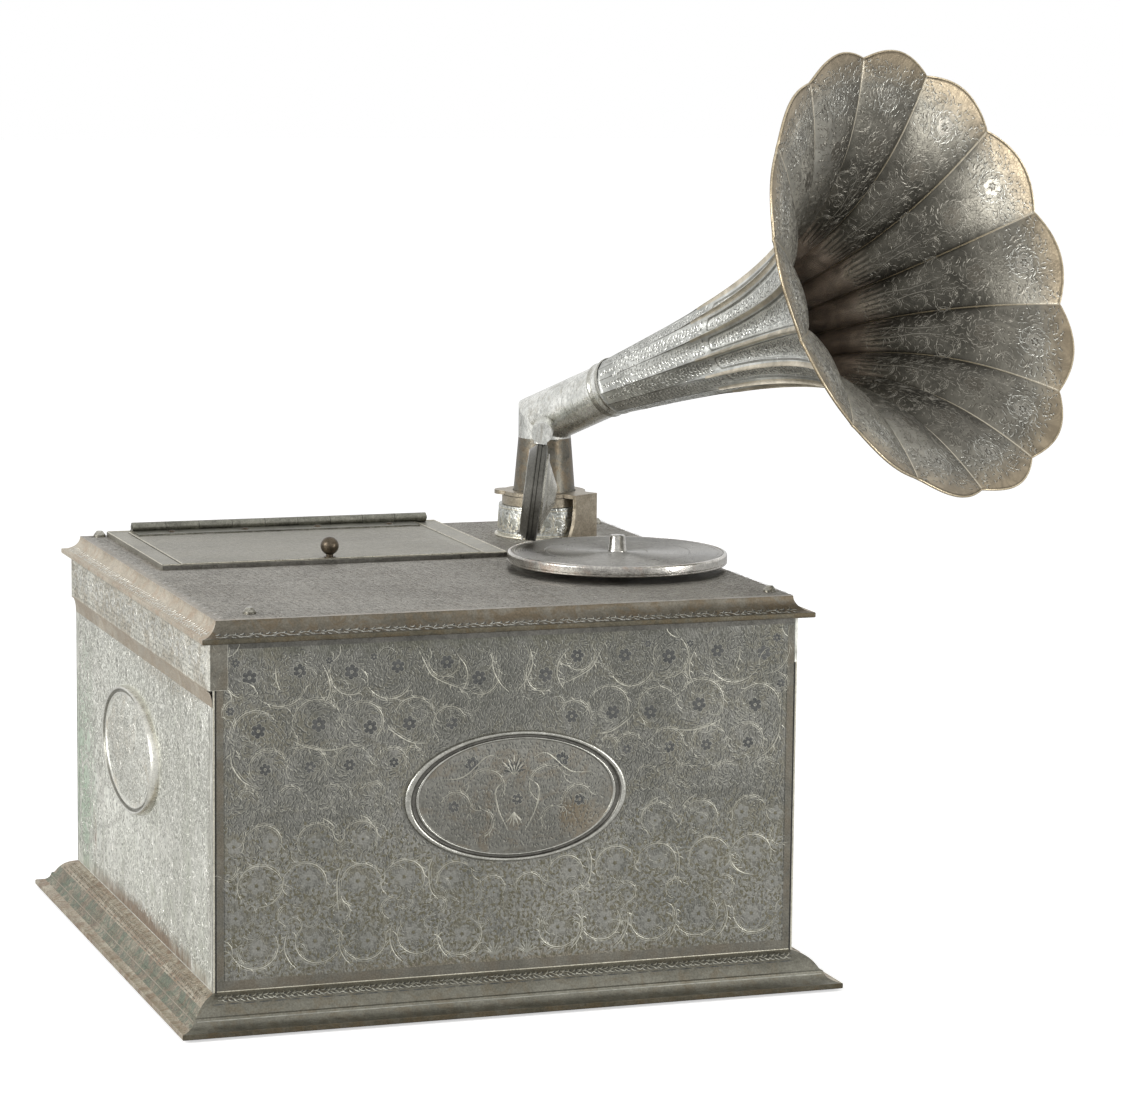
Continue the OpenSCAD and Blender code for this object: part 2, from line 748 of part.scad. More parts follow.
module crank_shaft() {
    color("#9ba0a4") at_shaft() translate([0, 0, shaft_start])
        cylinder(r = shaft_r, h = shaft_end - shaft_start);
}

module winding_pinion() {
    color("#9ba0a4") translate([barrel_x, barrel_y + crown_r - pinion_t / 2, shaft_z]) rotate([-90, 0, 0])
        rotate(-90) gear(wind_teeth, wind_m, pinion_t, shaft_r);
}

module crank_arm() {
    color("#8f8b80") at_shaft() translate([0, 0, shaft_end - crank_t - 4]) difference() {
        union() {
            cylinder(r = 9, h = crank_t);
            translate([0, -6, 0]) cube([crank_len, 12, crank_t]);
            translate([crank_len, 0, 0]) cylinder(r = 7, h = crank_t);
            translate([crank_len, 0, crank_t]) cylinder(r = handle_pin_r, h = handle_len + 2);
            translate([crank_len, 0, crank_t + handle_len + 0.6]) cylinder(r = 5, h = 1.4);
        }
        translate([0, 0, -cut]) cylinder(r = shaft_r, h = crank_t + 2 * cut);
    }
}

module crank_handle() {
    color("#3d2b1f") at_shaft() translate([crank_len, 0, shaft_end - 4 + gap]) difference() {
        union() {
            cylinder(r1 = handle_r - 2, r2 = handle_r, h = handle_len * 0.6);
            translate([0, 0, handle_len * 0.6]) cylinder(r1 = handle_r, r2 = handle_r - 2, h = handle_len * 0.4);
        }
        translate([0, 0, -cut]) cylinder(r = handle_pin_r + run, h = handle_len + 2 * cut);
    }
}

module crank_bush() {
    color("#b8a568") at_shaft() translate([0, 0, half_d - sheet - 4]) difference() {
        union() {
            cylinder(r = shaft_r + 3, h = sheet + 4);
            translate([0, 0, sheet + 4]) cylinder(r = bush_r, h = 2);
        }
        translate([0, 0, -cut]) cylinder(r = shaft_r + run, h = 10 + sheet);
    }
}

module intermediate_arbor() {
    color("#9ba0a4") translate([inter_at[0], inter_at[1], 0]) {
        translate([0, 0, low_plate_z]) cylinder(r = inter_r, h = plate_gap + 2 * plate_t, $fn = 36);
        translate([0, 0, great_z - 0.5]) rotate(bearing(inter_at, barrel_at) + 180 / low_teeth)
            linear_extrude(gear_t + 1) polygon(gear_outline(low_teeth, train_m));
    }
}

module intermediate_wheel() {
    color("#b8a568") translate([inter_at[0], inter_at[1], inter_wheel_z]) rotate(bearing(inter_at, spindle_at))
        gear(wheel_teeth, train_m, gear_t, inter_r);
}

module spindle() {
    top = deck_z + platter_h;
    color("#c9c9c6") translate([spindle_x, spindle_y, 0]) {
        translate([0, 0, low_plate_z]) cylinder(r = spindle_r, h = top - low_plate_z);
        translate([0, 0, top]) cylinder(r1 = 5, r2 = spindle_tip_r, h = spindle_h * 0.4);
        translate([0, 0, top + spindle_h * 0.4]) cylinder(r = spindle_tip_r, h = spindle_h * 0.5);
        translate([0, 0, top + spindle_h * 0.9]) cylinder(r1 = spindle_tip_r, r2 = spindle_tip_r - 1, h = spindle_h * 0.1);
        translate([0, 0, inter_wheel_z - 0.5]) rotate(bearing(spindle_at, inter_at) + 180 / spindle_teeth)
            linear_extrude(gear_t + 1) polygon(gear_outline(spindle_teeth, train_m));
    }
}

module spindle_wheel() {
    color("#b8a568") translate([spindle_x, spindle_y, speed_z]) rotate(bearing(spindle_at, governor_at))
        gear(speed_teeth, speed_m, gear_t, spindle_r);
}

module turntable() {
    top = deck_z + platter_h;
    color("#8d8a86") translate([spindle_x, spindle_y, 0]) difference() {
        union() {
            translate([0, 0, top - platter_rim]) cylinder(r = platter_r, h = platter_rim);
            translate([0, 0, deck_z - sheet - 4]) cylinder(r = 7, h = platter_h + sheet + 3);
        }
        translate([0, 0, top - platter_rim - cut]) tube(platter_r - 3, 10, platter_rim - 2 + cut);
        translate([0, 0, deck_z - 20]) cylinder(r = spindle_r, h = 60);
        for (r = [platter_r - 3.2, platter_r - 22, 18]) translate([0, 0, top - 0.4]) tube(r, r - 0.9, 2);
    }
}

module governor_shaft() {
    color("#9ba0a4") translate([governor_at[0], governor_at[1], 0]) {
        translate([0, 0, low_plate_z]) cylinder(r = governor_r, h = plate_gap + 2 * plate_t, $fn = 36);
        translate([0, 0, speed_z - 0.5]) rotate(bearing(governor_at, spindle_at) + 180 / governor_teeth)
            linear_extrude(gear_t + 1) polygon(gear_outline(governor_teeth, speed_m));
    }
}

// Three weights on bowed leaf springs between two collars
module governor_weights() {
    low = speed_z + gear_t + 2;
    high = disc_z - 2;
    color("#a8935a") translate([governor_at[0], governor_at[1], 0]) {
        translate([0, 0, low]) tube(4.5, governor_r, 3);
        translate([0, 0, high - 3]) tube(4.5, governor_r, 3);
        for (i = [0:2]) rotate(i * 120) {
            translate([4, -1.5, low + 1]) rotate([0, 38, 0]) cube([0.5, 3, 10.5]);
            translate([4, -1.5, high - 1]) rotate([0, 142, 0]) translate([-0.5, 0, 0]) cube([0.5, 3, 10.5]);
            translate([governor_out - 5.4, 0, (low + high) / 2 - 4]) cylinder(r = 3, h = 8, $fn = 36);
        }
    }
}

module friction_disc() {
    color("#9ba0a4") translate([governor_at[0], governor_at[1], disc_z - 2]) difference() {
        union() {
            cylinder(r = 4, h = 3.5);
            translate([0, 0, 2]) cylinder(r = disc_r, h = 1.5);
        }
        translate([0, 0, -cut]) cylinder(r = governor_r, h = 6, $fn = 36);
    }
}

module speed_lever() {
    to_disc = bearing(lever_at, governor_at) + asin((disc_r + lever_w / 2 + lever_clear) / lever_out);
    to_tray = bearing(lever_at, lever_end);
    color("#8e8b85") translate([lever_at[0], lever_at[1], disc_z - 0.8]) difference() {
        union() {
            cylinder(r = 5, h = 2.8);
            rotate(to_disc) translate([0, -lever_w / 2, 0.2]) cube([lever_out, lever_w, 2.2]);
            rotate(to_tray) translate([0, -lever_w / 2, 0.4]) cube([lever_len, lever_w, 1.8]);
            rotate(to_tray) translate([lever_len, 0, 0]) cylinder(r = 4.5, h = 5);
        }
        translate([0, 0, -cut]) cylinder(r = 2.5 + run, h = 6);
    }
}

module turret_collar() {
    color("#a19c90") at_turret() difference() {
        union() {
            translate([0, 0, deck_z]) cylinder(r = leg_r - 2 * gap, h = 1.2);
            translate([0, 0, deck_z]) cylinder(r1 = collar_r + 1, r2 = collar_r, h = collar_h);
        }
        translate([0, 0, deck_z - cut]) cylinder(r = spigot_r + run, h = collar_h + 2 * cut);
    }
}

// Strap round the post's foot with a leg down to the deck and a rounded tab
module post_bracket() {
    color("#a08c72") at_turret() difference() {
        union() {
            translate([0, 0, strap_z]) {
                cylinder(r = ring_r - 0.5, h = strap_t);
                rotate(horn_az + 220) {
                    translate([0, -tab_r, 0]) cube([tab_len - tab_r, 2 * tab_r, strap_t]);
                    translate([tab_len - tab_r, 0, 0]) cylinder(r = tab_r, h = strap_t);
                }
                rotate(bracket_az) translate([0, -leg_w / 2 + 3, 0]) cube([leg_r + strap_t, leg_w - 3, strap_t]);
            }
            rotate(bracket_az) translate([leg_r, 0, deck_z]) rotate([90, 0, 90]) linear_extrude(strap_t)
                polygon([[-leg_w / 2 - 3, 0], [leg_w / 2, 0], [leg_w / 2, strap_z - deck_z + strap_t],
                    [-leg_w / 2 + 3, strap_z - deck_z + strap_t], [-leg_w / 2 + 3.4, strap_z - deck_z - 6],
                    [-leg_w / 2 + 2, 10], [-leg_w / 2 - 0.5, 4]]);
        }
        translate([0, 0, strap_z - cut]) cylinder(r = post_foot_r + gap, h = strap_t + 2 * cut);
    }
}

module swivel_ring() {
    color("#b3aea2") at_turret() difference() {
        union() {
            translate([0, 0, ring_z]) cylinder(r = ring_r, h = ring_t);
            translate([0, 0, deck_z + 2]) cylinder(r = spigot_r, h = collar_h);
        }
        translate([0, 0, deck_z]) cylinder(r = spigot_r - 1.5, h = 60);
    }
}

module post() {
    color("#b3aea2") at_turret() translate([0, 0, post_z]) difference() {
        cylinder(r1 = post_foot_r, r2 = tube_r, h = post_h);
        translate([0, 0, -cut]) cylinder(r = spigot_r - 1.5, h = post_h + 2 * cut);
    }
}

// Space on one side of the elbow's mitre: 1 is the tube's side, -1 the post's
module mitre_side(side) {
    translate([post_x, post_y, elbow_z]) rotate([0, (90 - tube_rise) / 2, horn_az])
        translate([-100, -100, side > 0 ? 0 : -200]) cube(200);
}

// Upright leg of radius low and inclined leg of radius high, soldered at the mitre
module elbow_form(low, high, more) {
    intersection() {
        at_turret() rotate(horn_az + 90) translate([0, 0, post_z + post_h - more]) cylinder(r = low, h = 60);
        mitre_side(-1);
    }
    intersection() {
        at_tube() rotate(-90) translate([0, 0, -30]) cylinder(r = high, h = tube_len + 30 + more);
        mitre_side(1);
    }
}

module elbow() {
    color("#b9b6b0") difference() {
        union() {
            elbow_form(tube_r, tube_r + elbow_step, 0);
            at_tube() translate([0, 0, tube_len - 5]) cylinder(r = tube_r + 1, h = 5);
        }
        elbow_form(tube_bore, tube_bore + elbow_step, cut);
        at_arm() rotate([90, 0, 0]) cylinder(r = arm_r - arm_t, h = 40);
    }
}

module horn() {
    outer = [for (i = [0:horn_steps]) let (s = i / horn_steps, d = horn_start
        + (horn_at(lip_r) - horn_start) * (1 - (1 - s) ^ 1.5)) [horn_r(d), d]];
    inner = [for (p = outer) let (k = horn_slope(p[1]), q = horn_t / sqrt(1 + k * k)) [p[0] - q, p[1] + q * k]];
    color("#b0a68e") at_horn() intersection() {
        rotate_extrude() polygon(concat(outer, [for (i = [horn_steps:-1:0]) inner[i]]));
        rotate(petal_turn) linear_extrude(horn_len + 40) polygon(petal_edge);
    }
}

module tone_arm() {
    color("#c2bfb8") difference() {
        at_arm() rotate([90, 0, 0]) tube(arm_r, arm_r - arm_t, arm_len - throat_r - 2);
        at_turret() translate([0, 0, deck_z]) cylinder(r = tube_r + run, h = 120);
        at_tube() translate([0, 0, -30]) cylinder(r = tube_r + elbow_step + run, h = tube_len);
    }
}

// Swivelling end of the arm, with the neck that carries the sound box
module throat() {
    color("#c9c6bd") {
        at_arm() translate([0, -arm_len + throat_r + 2, 0]) rotate([90, 0, 0]) {
            translate([0, 0, gap]) cylinder(r = throat_r, h = 2 * throat_r);
            translate([0, 0, -spigot_len]) tube(arm_r - arm_t - run, arm_r - arm_t - 1.2, spigot_len + gap);
        }
        at_box() translate([0, 0, -box_drop + box_r]) cylinder(r = 4, h = box_drop - box_r - 2);
    }
}

module sound_box_back() {
    color("#8a867d") difference() {
        box_axis() rotate_extrude() polygon([
            [0, 1.5], [27.2, 1.5], [27.2, 0], [box_r, 0], [box_r, 4.5], [24.5, 4.9], [24.5, 6.5],
            [20, 6.7], [6.5, 12.8], [5, 13.4], [0, 13.4]]);
        box_axis() translate([0, 0, 1]) cylinder(r1 = 22, r2 = 16, h = 5);
        at_box() translate([0, 0, -box_drop + box_r - 0.1]) cylinder(r = 4, h = 10);
    }
}

module sound_box_ring() {
    color("#a5a196") difference() {
        box_axis() rotate_extrude() polygon([
            [22.5, -box_half], [25.5, -box_half], [box_r, -1.5], [box_r, 0], [27.2, 0], [27.2, -1.5], [22.5, -1.5]]);
        at_box() translate([-box_half - cut, -2.2, -box_drop - box_r - 2]) cube([box_half - 0.8 + cut, 4.4, 13]);
        at_box() translate([0, 0, -box_drop + box_r - 0.1]) cylinder(r = 4, h = 10);
    }
}

// Mica disc held between two rubber rings
module diaphragm() {
    color("#c8bfa0") box_axis() {
        translate([0, 0, -0.2]) cylinder(r = 27, h = 0.4);
        translate([0, 0, -1.5]) tube(27, 23.5, 1.3);
        translate([0, 0, 0.2]) tube(27, 23.5, 1.3);
    }
}

module needle_bar() {
    color("#9ba0a4") at_box() difference() {
        union() {
            translate([-5, -1.5, -box_drop - box_r + 1.5]) cube([2.4, 3, box_r + 1]);
            translate([-2.7, 0, -box_drop]) rotate([0, 90, 0]) cylinder(r = 1.2, h = 2.5, $fn = 36);
            translate([-7.4, 0, -box_drop - box_r + 4.5]) rotate([0, 90, 0]) cylinder(r = 1.4, h = 2.4, $fn = 36);
        }
        translate([-3.8, 0, -stylus_tip]) cylinder(r = 0.7, h = 10, $fn = 24);
    }
}

module needle() {
    color("#55585c") at_box() translate([-3.8, 0, -stylus_tip]) {
        cylinder(r1 = 0.1, r2 = 0.7, h = 2, $fn = 24);
        translate([0, 0, 2]) cylinder(r = 0.7, h = 7.5, $fn = 24);
    }
}

felt_feet();
bottom_board();
base_rails();
front_panel();
back_panel();
left_panel();
right_panel();
corner_posts();
cornice_rails();
skirt_band();
front_medallion();
side_medallions();
deck_plate();
deck_screws();
lid_frame();
compartment_tray();
frame_hinge_leaf();
lid();
lid_hinge_leaf();
hinge_rivets();
hinge_pin();
lid_knob();
motor_top_plate();
motor_bottom_plate();
motor_pillars();
motor_hangers();
spring_barrel();
barrel_cover();
mainspring();
winding_arbor();
crown_wheel();
ratchet_wheel();
pawl();
crank_shaft();
winding_pinion();
crank_arm();
crank_handle();
crank_bush();
intermediate_arbor();
intermediate_wheel();
spindle();
spindle_wheel();
turntable();
governor_shaft();
governor_weights();
friction_disc();
speed_lever();
turret_collar();
post_bracket();
swivel_ring();
post();
elbow();
horn();
tone_arm();
throat();
sound_box_back();
sound_box_ring();
diaphragm();
needle_bar();
needle();
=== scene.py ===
# %% [markdown]
# # A table phonograph with a petal horn
# The CAD model gives every plate, shaft and tube in its real place. This script dresses it: it
# engraves the silvered sheet, flutes the horn, rounds the mouldings and gives each finish its
# colour and shine. Lengths are written in millimetres and turned into metres with MM.

# %% Load the CAD frame
import bpy
import math
import numpy as np
from mathutils import Matrix, Vector


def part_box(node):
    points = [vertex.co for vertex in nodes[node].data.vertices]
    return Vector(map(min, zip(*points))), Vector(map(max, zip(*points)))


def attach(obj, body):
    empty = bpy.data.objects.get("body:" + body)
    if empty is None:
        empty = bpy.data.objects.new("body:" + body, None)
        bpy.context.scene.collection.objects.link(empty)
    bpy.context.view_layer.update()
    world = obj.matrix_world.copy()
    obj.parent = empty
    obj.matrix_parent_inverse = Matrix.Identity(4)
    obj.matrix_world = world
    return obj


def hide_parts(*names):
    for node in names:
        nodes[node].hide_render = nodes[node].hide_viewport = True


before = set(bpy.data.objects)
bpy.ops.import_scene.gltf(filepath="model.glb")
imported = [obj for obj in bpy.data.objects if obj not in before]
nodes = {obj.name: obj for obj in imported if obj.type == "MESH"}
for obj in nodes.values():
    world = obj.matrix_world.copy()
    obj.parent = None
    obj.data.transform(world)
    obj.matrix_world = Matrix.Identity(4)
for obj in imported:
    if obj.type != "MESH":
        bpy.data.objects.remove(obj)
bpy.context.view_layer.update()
MM = 0.001
rng = np.random.default_rng(11)

# %% [markdown]
# ## The camera
# A camera is a place, a direction and a focal length. These came from lines on the case whose
# real directions are known, so the render lies over the photograph. The focal length is in
# pixels of the photograph, and Blender wants it in millimetres of a 36 mm wide sensor.

# %% Place the camera
PHOTO_WIDTH = 1123
FOCAL_PX = 3921
SENSOR = 36
CAMERA_AT = (-0.7009, -2.2566, 0.5815)
YAW, PITCH, ROLL = (math.radians(a) for a in (19.33, 8.26, 0.62))

forward = Vector((math.sin(YAW) * math.cos(PITCH), math.cos(YAW) * math.cos(PITCH), -math.sin(PITCH)))
level_right = Vector((math.cos(YAW), -math.sin(YAW), 0))
level_up = level_right.cross(forward)
right = level_right * math.cos(ROLL) + level_up * math.sin(ROLL)
up = right.cross(forward)

camera_data = bpy.data.cameras.new("photo_camera")
camera_data.sensor_fit = "HORIZONTAL"
camera_data.sensor_width = SENSOR
camera_data.lens = FOCAL_PX / PHOTO_WIDTH * SENSOR
camera_data.clip_end = 50
camera = bpy.data.objects.new("photo_camera", camera_data)
camera.matrix_world = Matrix.Translation(CAMERA_AT) @ Matrix((right, up, -forward)).transposed().to_4x4()
bpy.context.scene.collection.objects.link(camera)
bpy.context.scene.camera = camera
print("lens", round(camera_data.lens, 1), "mm")

# %% [markdown]
# ## A small kit for materials
# Every finish here is old silvered brass with its own tone, so one kit builds them all. `node`
# adds a node and fills its sockets, with a link where it is given another node's output.

# %% Node helpers
def srgb(r, g, b):
    """A screen colour from 0 to 255 as the linear colour that a shader takes."""
    return tuple(c / 255 / 12.92 if c <= 10 else ((c / 255 + 0.055) / 1.055) ** 2.4 for c in (r, g, b)) + (1,)


def grey(level):
    return (level, level, level, 1)


def node(tree, kind, sockets=None, **settings):
    made = tree.nodes.new("ShaderNode" + kind)
    for key, value in settings.items():
        setattr(made, key, value)
    for key, value in (sockets or {}).items():
        if isinstance(value, bpy.types.NodeSocket):
            tree.links.new(value, made.inputs[key])
        else:
            made.inputs[key].default_value = value
    return made


def maths(tree, operation, a, b=0.0, c=0.0):
    return node(tree, "Math", {0: a, 1: b, 2: c}, operation=operation).outputs[0]


def rescale(tree, value, low, high, new_low=0.0, new_high=1.0):
    return node(tree, "MapRange", {"Value": value, "From Min": low, "From Max": high,
                                   "To Min": new_low, "To Max": new_high}).outputs[0]


def place_coords(tree, stretch=(1, 1, 1)):
    """Places on the object in metres, stretched by a factor along each axis."""
    coords = node(tree, "TexCoord").outputs["Object"]
    return node(tree, "Mapping", {"Vector": coords, "Scale": stretch}).outputs[0]


def noise(tree, coords, scale, detail, rough=0.5, distortion=0.0):
    return node(tree, "TexNoise", {"Vector": coords, "Scale": scale, "Detail": detail, "Roughness": rough,
                                   "Distortion": distortion}).outputs["Fac"]


def ramp(tree, factor, stops):
    made = node(tree, "ValToRGB", {"Fac": factor})
    elements = made.color_ramp.elements
    while len(elements) < len(stops):
        elements.new(0.5)
    for element, (position, colour) in zip(elements, stops):
        element.position = position
        element.color = colour
    return made.outputs["Color"]


def mix(tree, factor, a, b, blend_type="MIX"):
    """Two colours mixed; the colour sockets of a Mix node are numbers 6 and 7."""
    return node(tree, "Mix", {0: factor, 6: a, 7: b}, data_type="RGBA", blend_type=blend_type).outputs[2]


def vector_maths(tree, operation, a, b=(0, 0, 0), output="Vector"):
    return node(tree, "VectorMath", {0: a, 1: b}, operation=operation).outputs[output]


def as_grey(tree, value):
    """A number as a colour with three equal parts."""
    return node(tree, "CombineColor", {"Red": value, "Green": value, "Blue": value}).outputs[0]


def cell_edges(tree, coords, scale):
    """The distance to the nearest edge between the cells of a cell texture."""
    return node(tree, "TexVoronoi", {"Vector": coords, "Scale": scale},
                feature="DISTANCE_TO_EDGE").outputs["Distance"]


def lift_normal(tree, shader, strength, distance, height):
    bump = node(tree, "Bump", {"Strength": strength, "Distance": distance, "Height": height})
    tree.links.new(bump.outputs[0], shader.inputs["Normal"])


def new_finish(name, metallic, **sockets):
    """A new material with one Principled shader, whose plain sockets are set here."""
    material = bpy.data.materials.new(name)
    material.use_nodes = True
    tree = material.node_tree
    tree.nodes.clear()
    shader = node(tree, "BsdfPrincipled", {"Metallic": metallic, **sockets})
    node(tree, "OutputMaterial", {"Surface": shader.outputs[0]})
    return material, tree, shader

# %% [markdown]
# ## Aged silvered sheet
# Old tinned or silvered brass isn't a mirror: tarnish clouds it, fine wear scatters the light,
# and a little brown or green shows where the silver has gone. Three noises of different size
# give the clouds, the blotches and the grain. The last one also lifts the surface as a bump.
# Some sheets also carry single marks: stains, and painted shadow where another part shades the
# sheet. They also carry the small close cuts that the engraver left between the larger motifs.
# The cuts are the cells of a cell texture, squeezed along one axis so that they stand like short
# dashes. A noise bends them a little and makes the marks ragged.

# %% Marks and small cuts
def marked(tree, colour, blotch, tint, middle_at, reach, strength):
    """The colour with one mark on it, round a place in mm and with a reach along each axis."""
    here = node(tree, "TexCoord").outputs["Object"]
    off = vector_maths(tree, "SUBTRACT", here, [c * MM for c in middle_at])
    shrunk = vector_maths(tree, "MULTIPLY", off, [1 / (c * MM) for c in reach])
    distance = vector_maths(tree, "LENGTH", shrunk, output="Value")
    ragged = maths(tree, "MULTIPLY_ADD", blotch, 1.6, maths(tree, "SUBTRACT", distance, 0.8))
    return mix(tree, rescale(tree, ragged, 0.45, 1.1, strength, 0.0), colour, tint)


def chased_cuts(tree, coords, squeeze, depth):
    """How much lighter or darker the small cuts make the sheet, and where their raised edges lie."""
    drift = node(tree, "TexNoise", {"Vector": coords, "Scale": 90.0}).outputs["Color"]
    bent = vector_maths(tree, "ADD", coords, vector_maths(tree, "MULTIPLY", drift, (0.006,) * 3))
    squeezed = node(tree, "Mapping", {"Vector": bent, "Scale": squeeze}).outputs[0]
    cells = cell_edges(tree, squeezed, 1.0)
    edge = rescale(tree, cells, 0.02, 0.16, 1.0, 0.0)
    pit = rescale(tree, cells, 0.2, 0.42, 0.0, 1.0)
    shade = maths(tree, "MULTIPLY_ADD", edge, depth, maths(tree, "MULTIPLY_ADD", pit, -depth, 1.0))
    return shade, edge

# %% The recipe for aged metal
def aged_metal(name, dark, light, metallic=0.85, rough=(0.34, 0.55), cloud=16, grain=900, bump=0.25,
               warm=None, warm_share=0.42, stretch=(1, 1, 1), speckle=0.2, chased=None, chased_depth=0.3,
               marks=()):
    """chased squeezes the small cuts along each axis; each of the marks is a colour, a place, a reach, a
    strength, and some of them are painted shadow.
    """
    material, tree, shader = new_finish(name, metallic)
    coords = place_coords(tree, stretch)
    clouds = noise(tree, coords, cloud, 4, 0.6)
    blotch = noise(tree, coords, cloud * 7, 4, 0.65, 0.6)
    fine = noise(tree, coords, grain, 2, 0.6)
    tone = maths(tree, "MULTIPLY_ADD", clouds, 0.55, maths(tree, "MULTIPLY", blotch, 0.45))
    colour = ramp(tree, tone, [(0.36, dark), (0.62, light)])
    if warm:
        patches = noise(tree, coords, cloud * 2.3, 5, 0.7, 1.2)
        share = rescale(tree, patches, warm_share, warm_share + 0.14, 0.75, 0.0)
        colour = mix(tree, share, colour, warm)
    for mark in marks:
        colour = marked(tree, colour, blotch, *mark)
    grains = ramp(tree, fine, [(0.3, grey(1 - speckle)), (0.7, grey(1 + speckle))])
    colour = mix(tree, 1.0, colour, grains, "MULTIPLY")
    height = fine
    if chased:
        shade, edge = chased_cuts(tree, coords, chased, chased_depth)
        colour = mix(tree, 1.0, colour, as_grey(tree, shade), "MULTIPLY")
        height = maths(tree, "MULTIPLY_ADD", fine, 0.3, edge)
    tree.links.new(colour, shader.inputs["Base Color"])
    tree.links.new(rescale(tree, blotch, 0.3, 0.7, rough[0], rough[1]), shader.inputs["Roughness"])
    lift_normal(tree, shader, bump, 0.0004, height)
    return material

# %% [markdown]
# ## The finishes of this object
# The front is a mid grey with an olive cast, the left side is paler, the deck is brown-grey and
# hatched, and the lines that the engraver cut catch more light than the ground around them.

# %% Where the marks and the cuts lie
ACROSS_FRONT, ACROSS_SIDE, ACROSS_DECK = (620, 0.01, 330), (0.01, 620, 330), (260, 900, 0.01)
FRONT_AT, SIDE_AT, DECK_AT = -177, -176, 232    # where the marked faces lie, in mm
THROUGH = 20                                    # how far a mark reaches through the sheet


def front_stain_and_shade(colour, x, z, reach_x, reach_z, strength):
    return colour, (x, FRONT_AT, z), (reach_x, THROUGH, reach_z), strength


def side_mark(colour, y, z, reach_y, reach_z, strength):
    return colour, (SIDE_AT, y, z), (THROUGH, reach_y, reach_z), strength


def deck_shadow_and_mark(colour, x, y, reach_x, reach_y, strength):
    return colour, (x, y, DECK_AT), (reach_x, reach_y, THROUGH), strength

# %% Finishes of the front, the sides and the band
# The front's marks at heights 224, 222 and 196 darken its top under the cornice: painted shadow of the
# cornice. The mark at -172 darkens the top of the left margin, and the warm one at 26 is the sheet's own tone
# at its foot.
front_sheet = aged_metal("front_sheet", srgb(102, 102, 96), srgb(130, 129, 123), warm=srgb(116, 113, 100),
                         warm_share=0.4, chased=ACROSS_FRONT, chased_depth=0.2, rough=(0.38, 0.56),
                         marks=(front_stain_and_shade(srgb(94, 94, 82), -40, 224, 170, 16, 0.7),
                                 front_stain_and_shade(srgb(92, 92, 92), -172, 205, 14, 16, 0.5),
                                 front_stain_and_shade(srgb(128, 118, 98), 0, 26, 150, 9, 0.45),
                                 front_stain_and_shade(srgb(96, 94, 88), 100, 222, 80, 9, 0.5),
                                 front_stain_and_shade(srgb(90, 90, 84), 0, 196, 190, 44, 0.4)))
plain_sheet = aged_metal("plain_sheet", srgb(100, 98, 90), srgb(126, 123, 113), warm=srgb(116, 109, 96),
                         rough=(0.32, 0.46))
# Of the side's marks the brown and green ones are stains; the one at height 186 is a brownish band under the
# skirt's cove, the one at 120 a broad paler patch, and the one at -168 a darker strip near the front edge.
side_metal = aged_metal("side_metal", srgb(187, 187, 178), srgb(219, 219, 211), rough=(0.4, 0.58),
                        warm=srgb(176, 178, 165),
                        chased=ACROSS_SIDE, chased_depth=0.2, stretch=(1, 1, 0.4), warm_share=0.38,
                        marks=(side_mark(srgb(122, 100, 78), -10, 22, 160, 12, 0.85),
                                side_mark(srgb(134, 104, 82), 126, 50, 6, 16, 0.7),
                                side_mark(srgb(152, 176, 150), 152, 90, 34, 76, 0.7),
                                side_mark(srgb(158, 148, 130), -60, 186, 130, 12, 0.6),
                                side_mark(srgb(226, 227, 218), 60, 120, 120, 90, 0.5),
                                side_mark(srgb(150, 148, 136), -168, 100, 7, 100, 0.6)))
band_metal = aged_metal("band_metal", srgb(182, 181, 170), srgb(218, 216, 205), rough=(0.38, 0.55),
                        chased=ACROSS_SIDE, chased_depth=0.24, warm=srgb(162, 154, 138))
brown_strip = aged_metal("brown_strip", srgb(158, 150, 134), srgb(186, 178, 162), rough=(0.4, 0.55),
                         warm=srgb(156, 142, 122))

# %% Finishes of the mouldings, the deck and the lid
moulding_metal = aged_metal("moulding_metal", srgb(104, 102, 92), srgb(128, 126, 115),
                            warm=srgb(112, 105, 90), warm_share=0.38, cloud=30)
cornice_metal = aged_metal("cornice_metal", srgb(92, 88, 78), srgb(120, 115, 104), warm=srgb(104, 92, 74),
                           warm_share=0.42, cloud=30)
base_side_metal = aged_metal("base_side_metal", srgb(112, 96, 78), srgb(156, 150, 134), rough=(0.4, 0.58),
                             warm=srgb(98, 112, 96),
                             warm_share=0.42, cloud=36, speckle=0.5, stretch=(1, 1, 0.4))
# A lighter copy of the side rails' finish, for the faces that catch the light: painted light.
base_side_painted_light = aged_metal("base_side_painted_light", srgb(146, 132, 112), srgb(186, 180, 162), rough=(0.36, 0.52),
                             warm=srgb(128, 104, 80),
                             warm_share=0.4, cloud=40, speckle=0.4, stretch=(1, 1, 0.4))
# A dark finish for the lip faces that turn away from the light: painted shade.
lip_painted_shade = aged_metal("lip_painted_shade", srgb(74, 70, 58), srgb(100, 95, 82), warm=srgb(88, 78, 60), cloud=30)
edge_metal = aged_metal("edge_metal", srgb(176, 171, 154), srgb(212, 207, 190), metallic=0.95,
                        rough=(0.24, 0.4), cloud=50)
cornice_side_metal = aged_metal("cornice_side_metal", srgb(168, 158, 140), srgb(194, 186, 170),
                                rough=(0.4, 0.58), warm=srgb(172, 152, 130), warm_share=0.38, cloud=30)
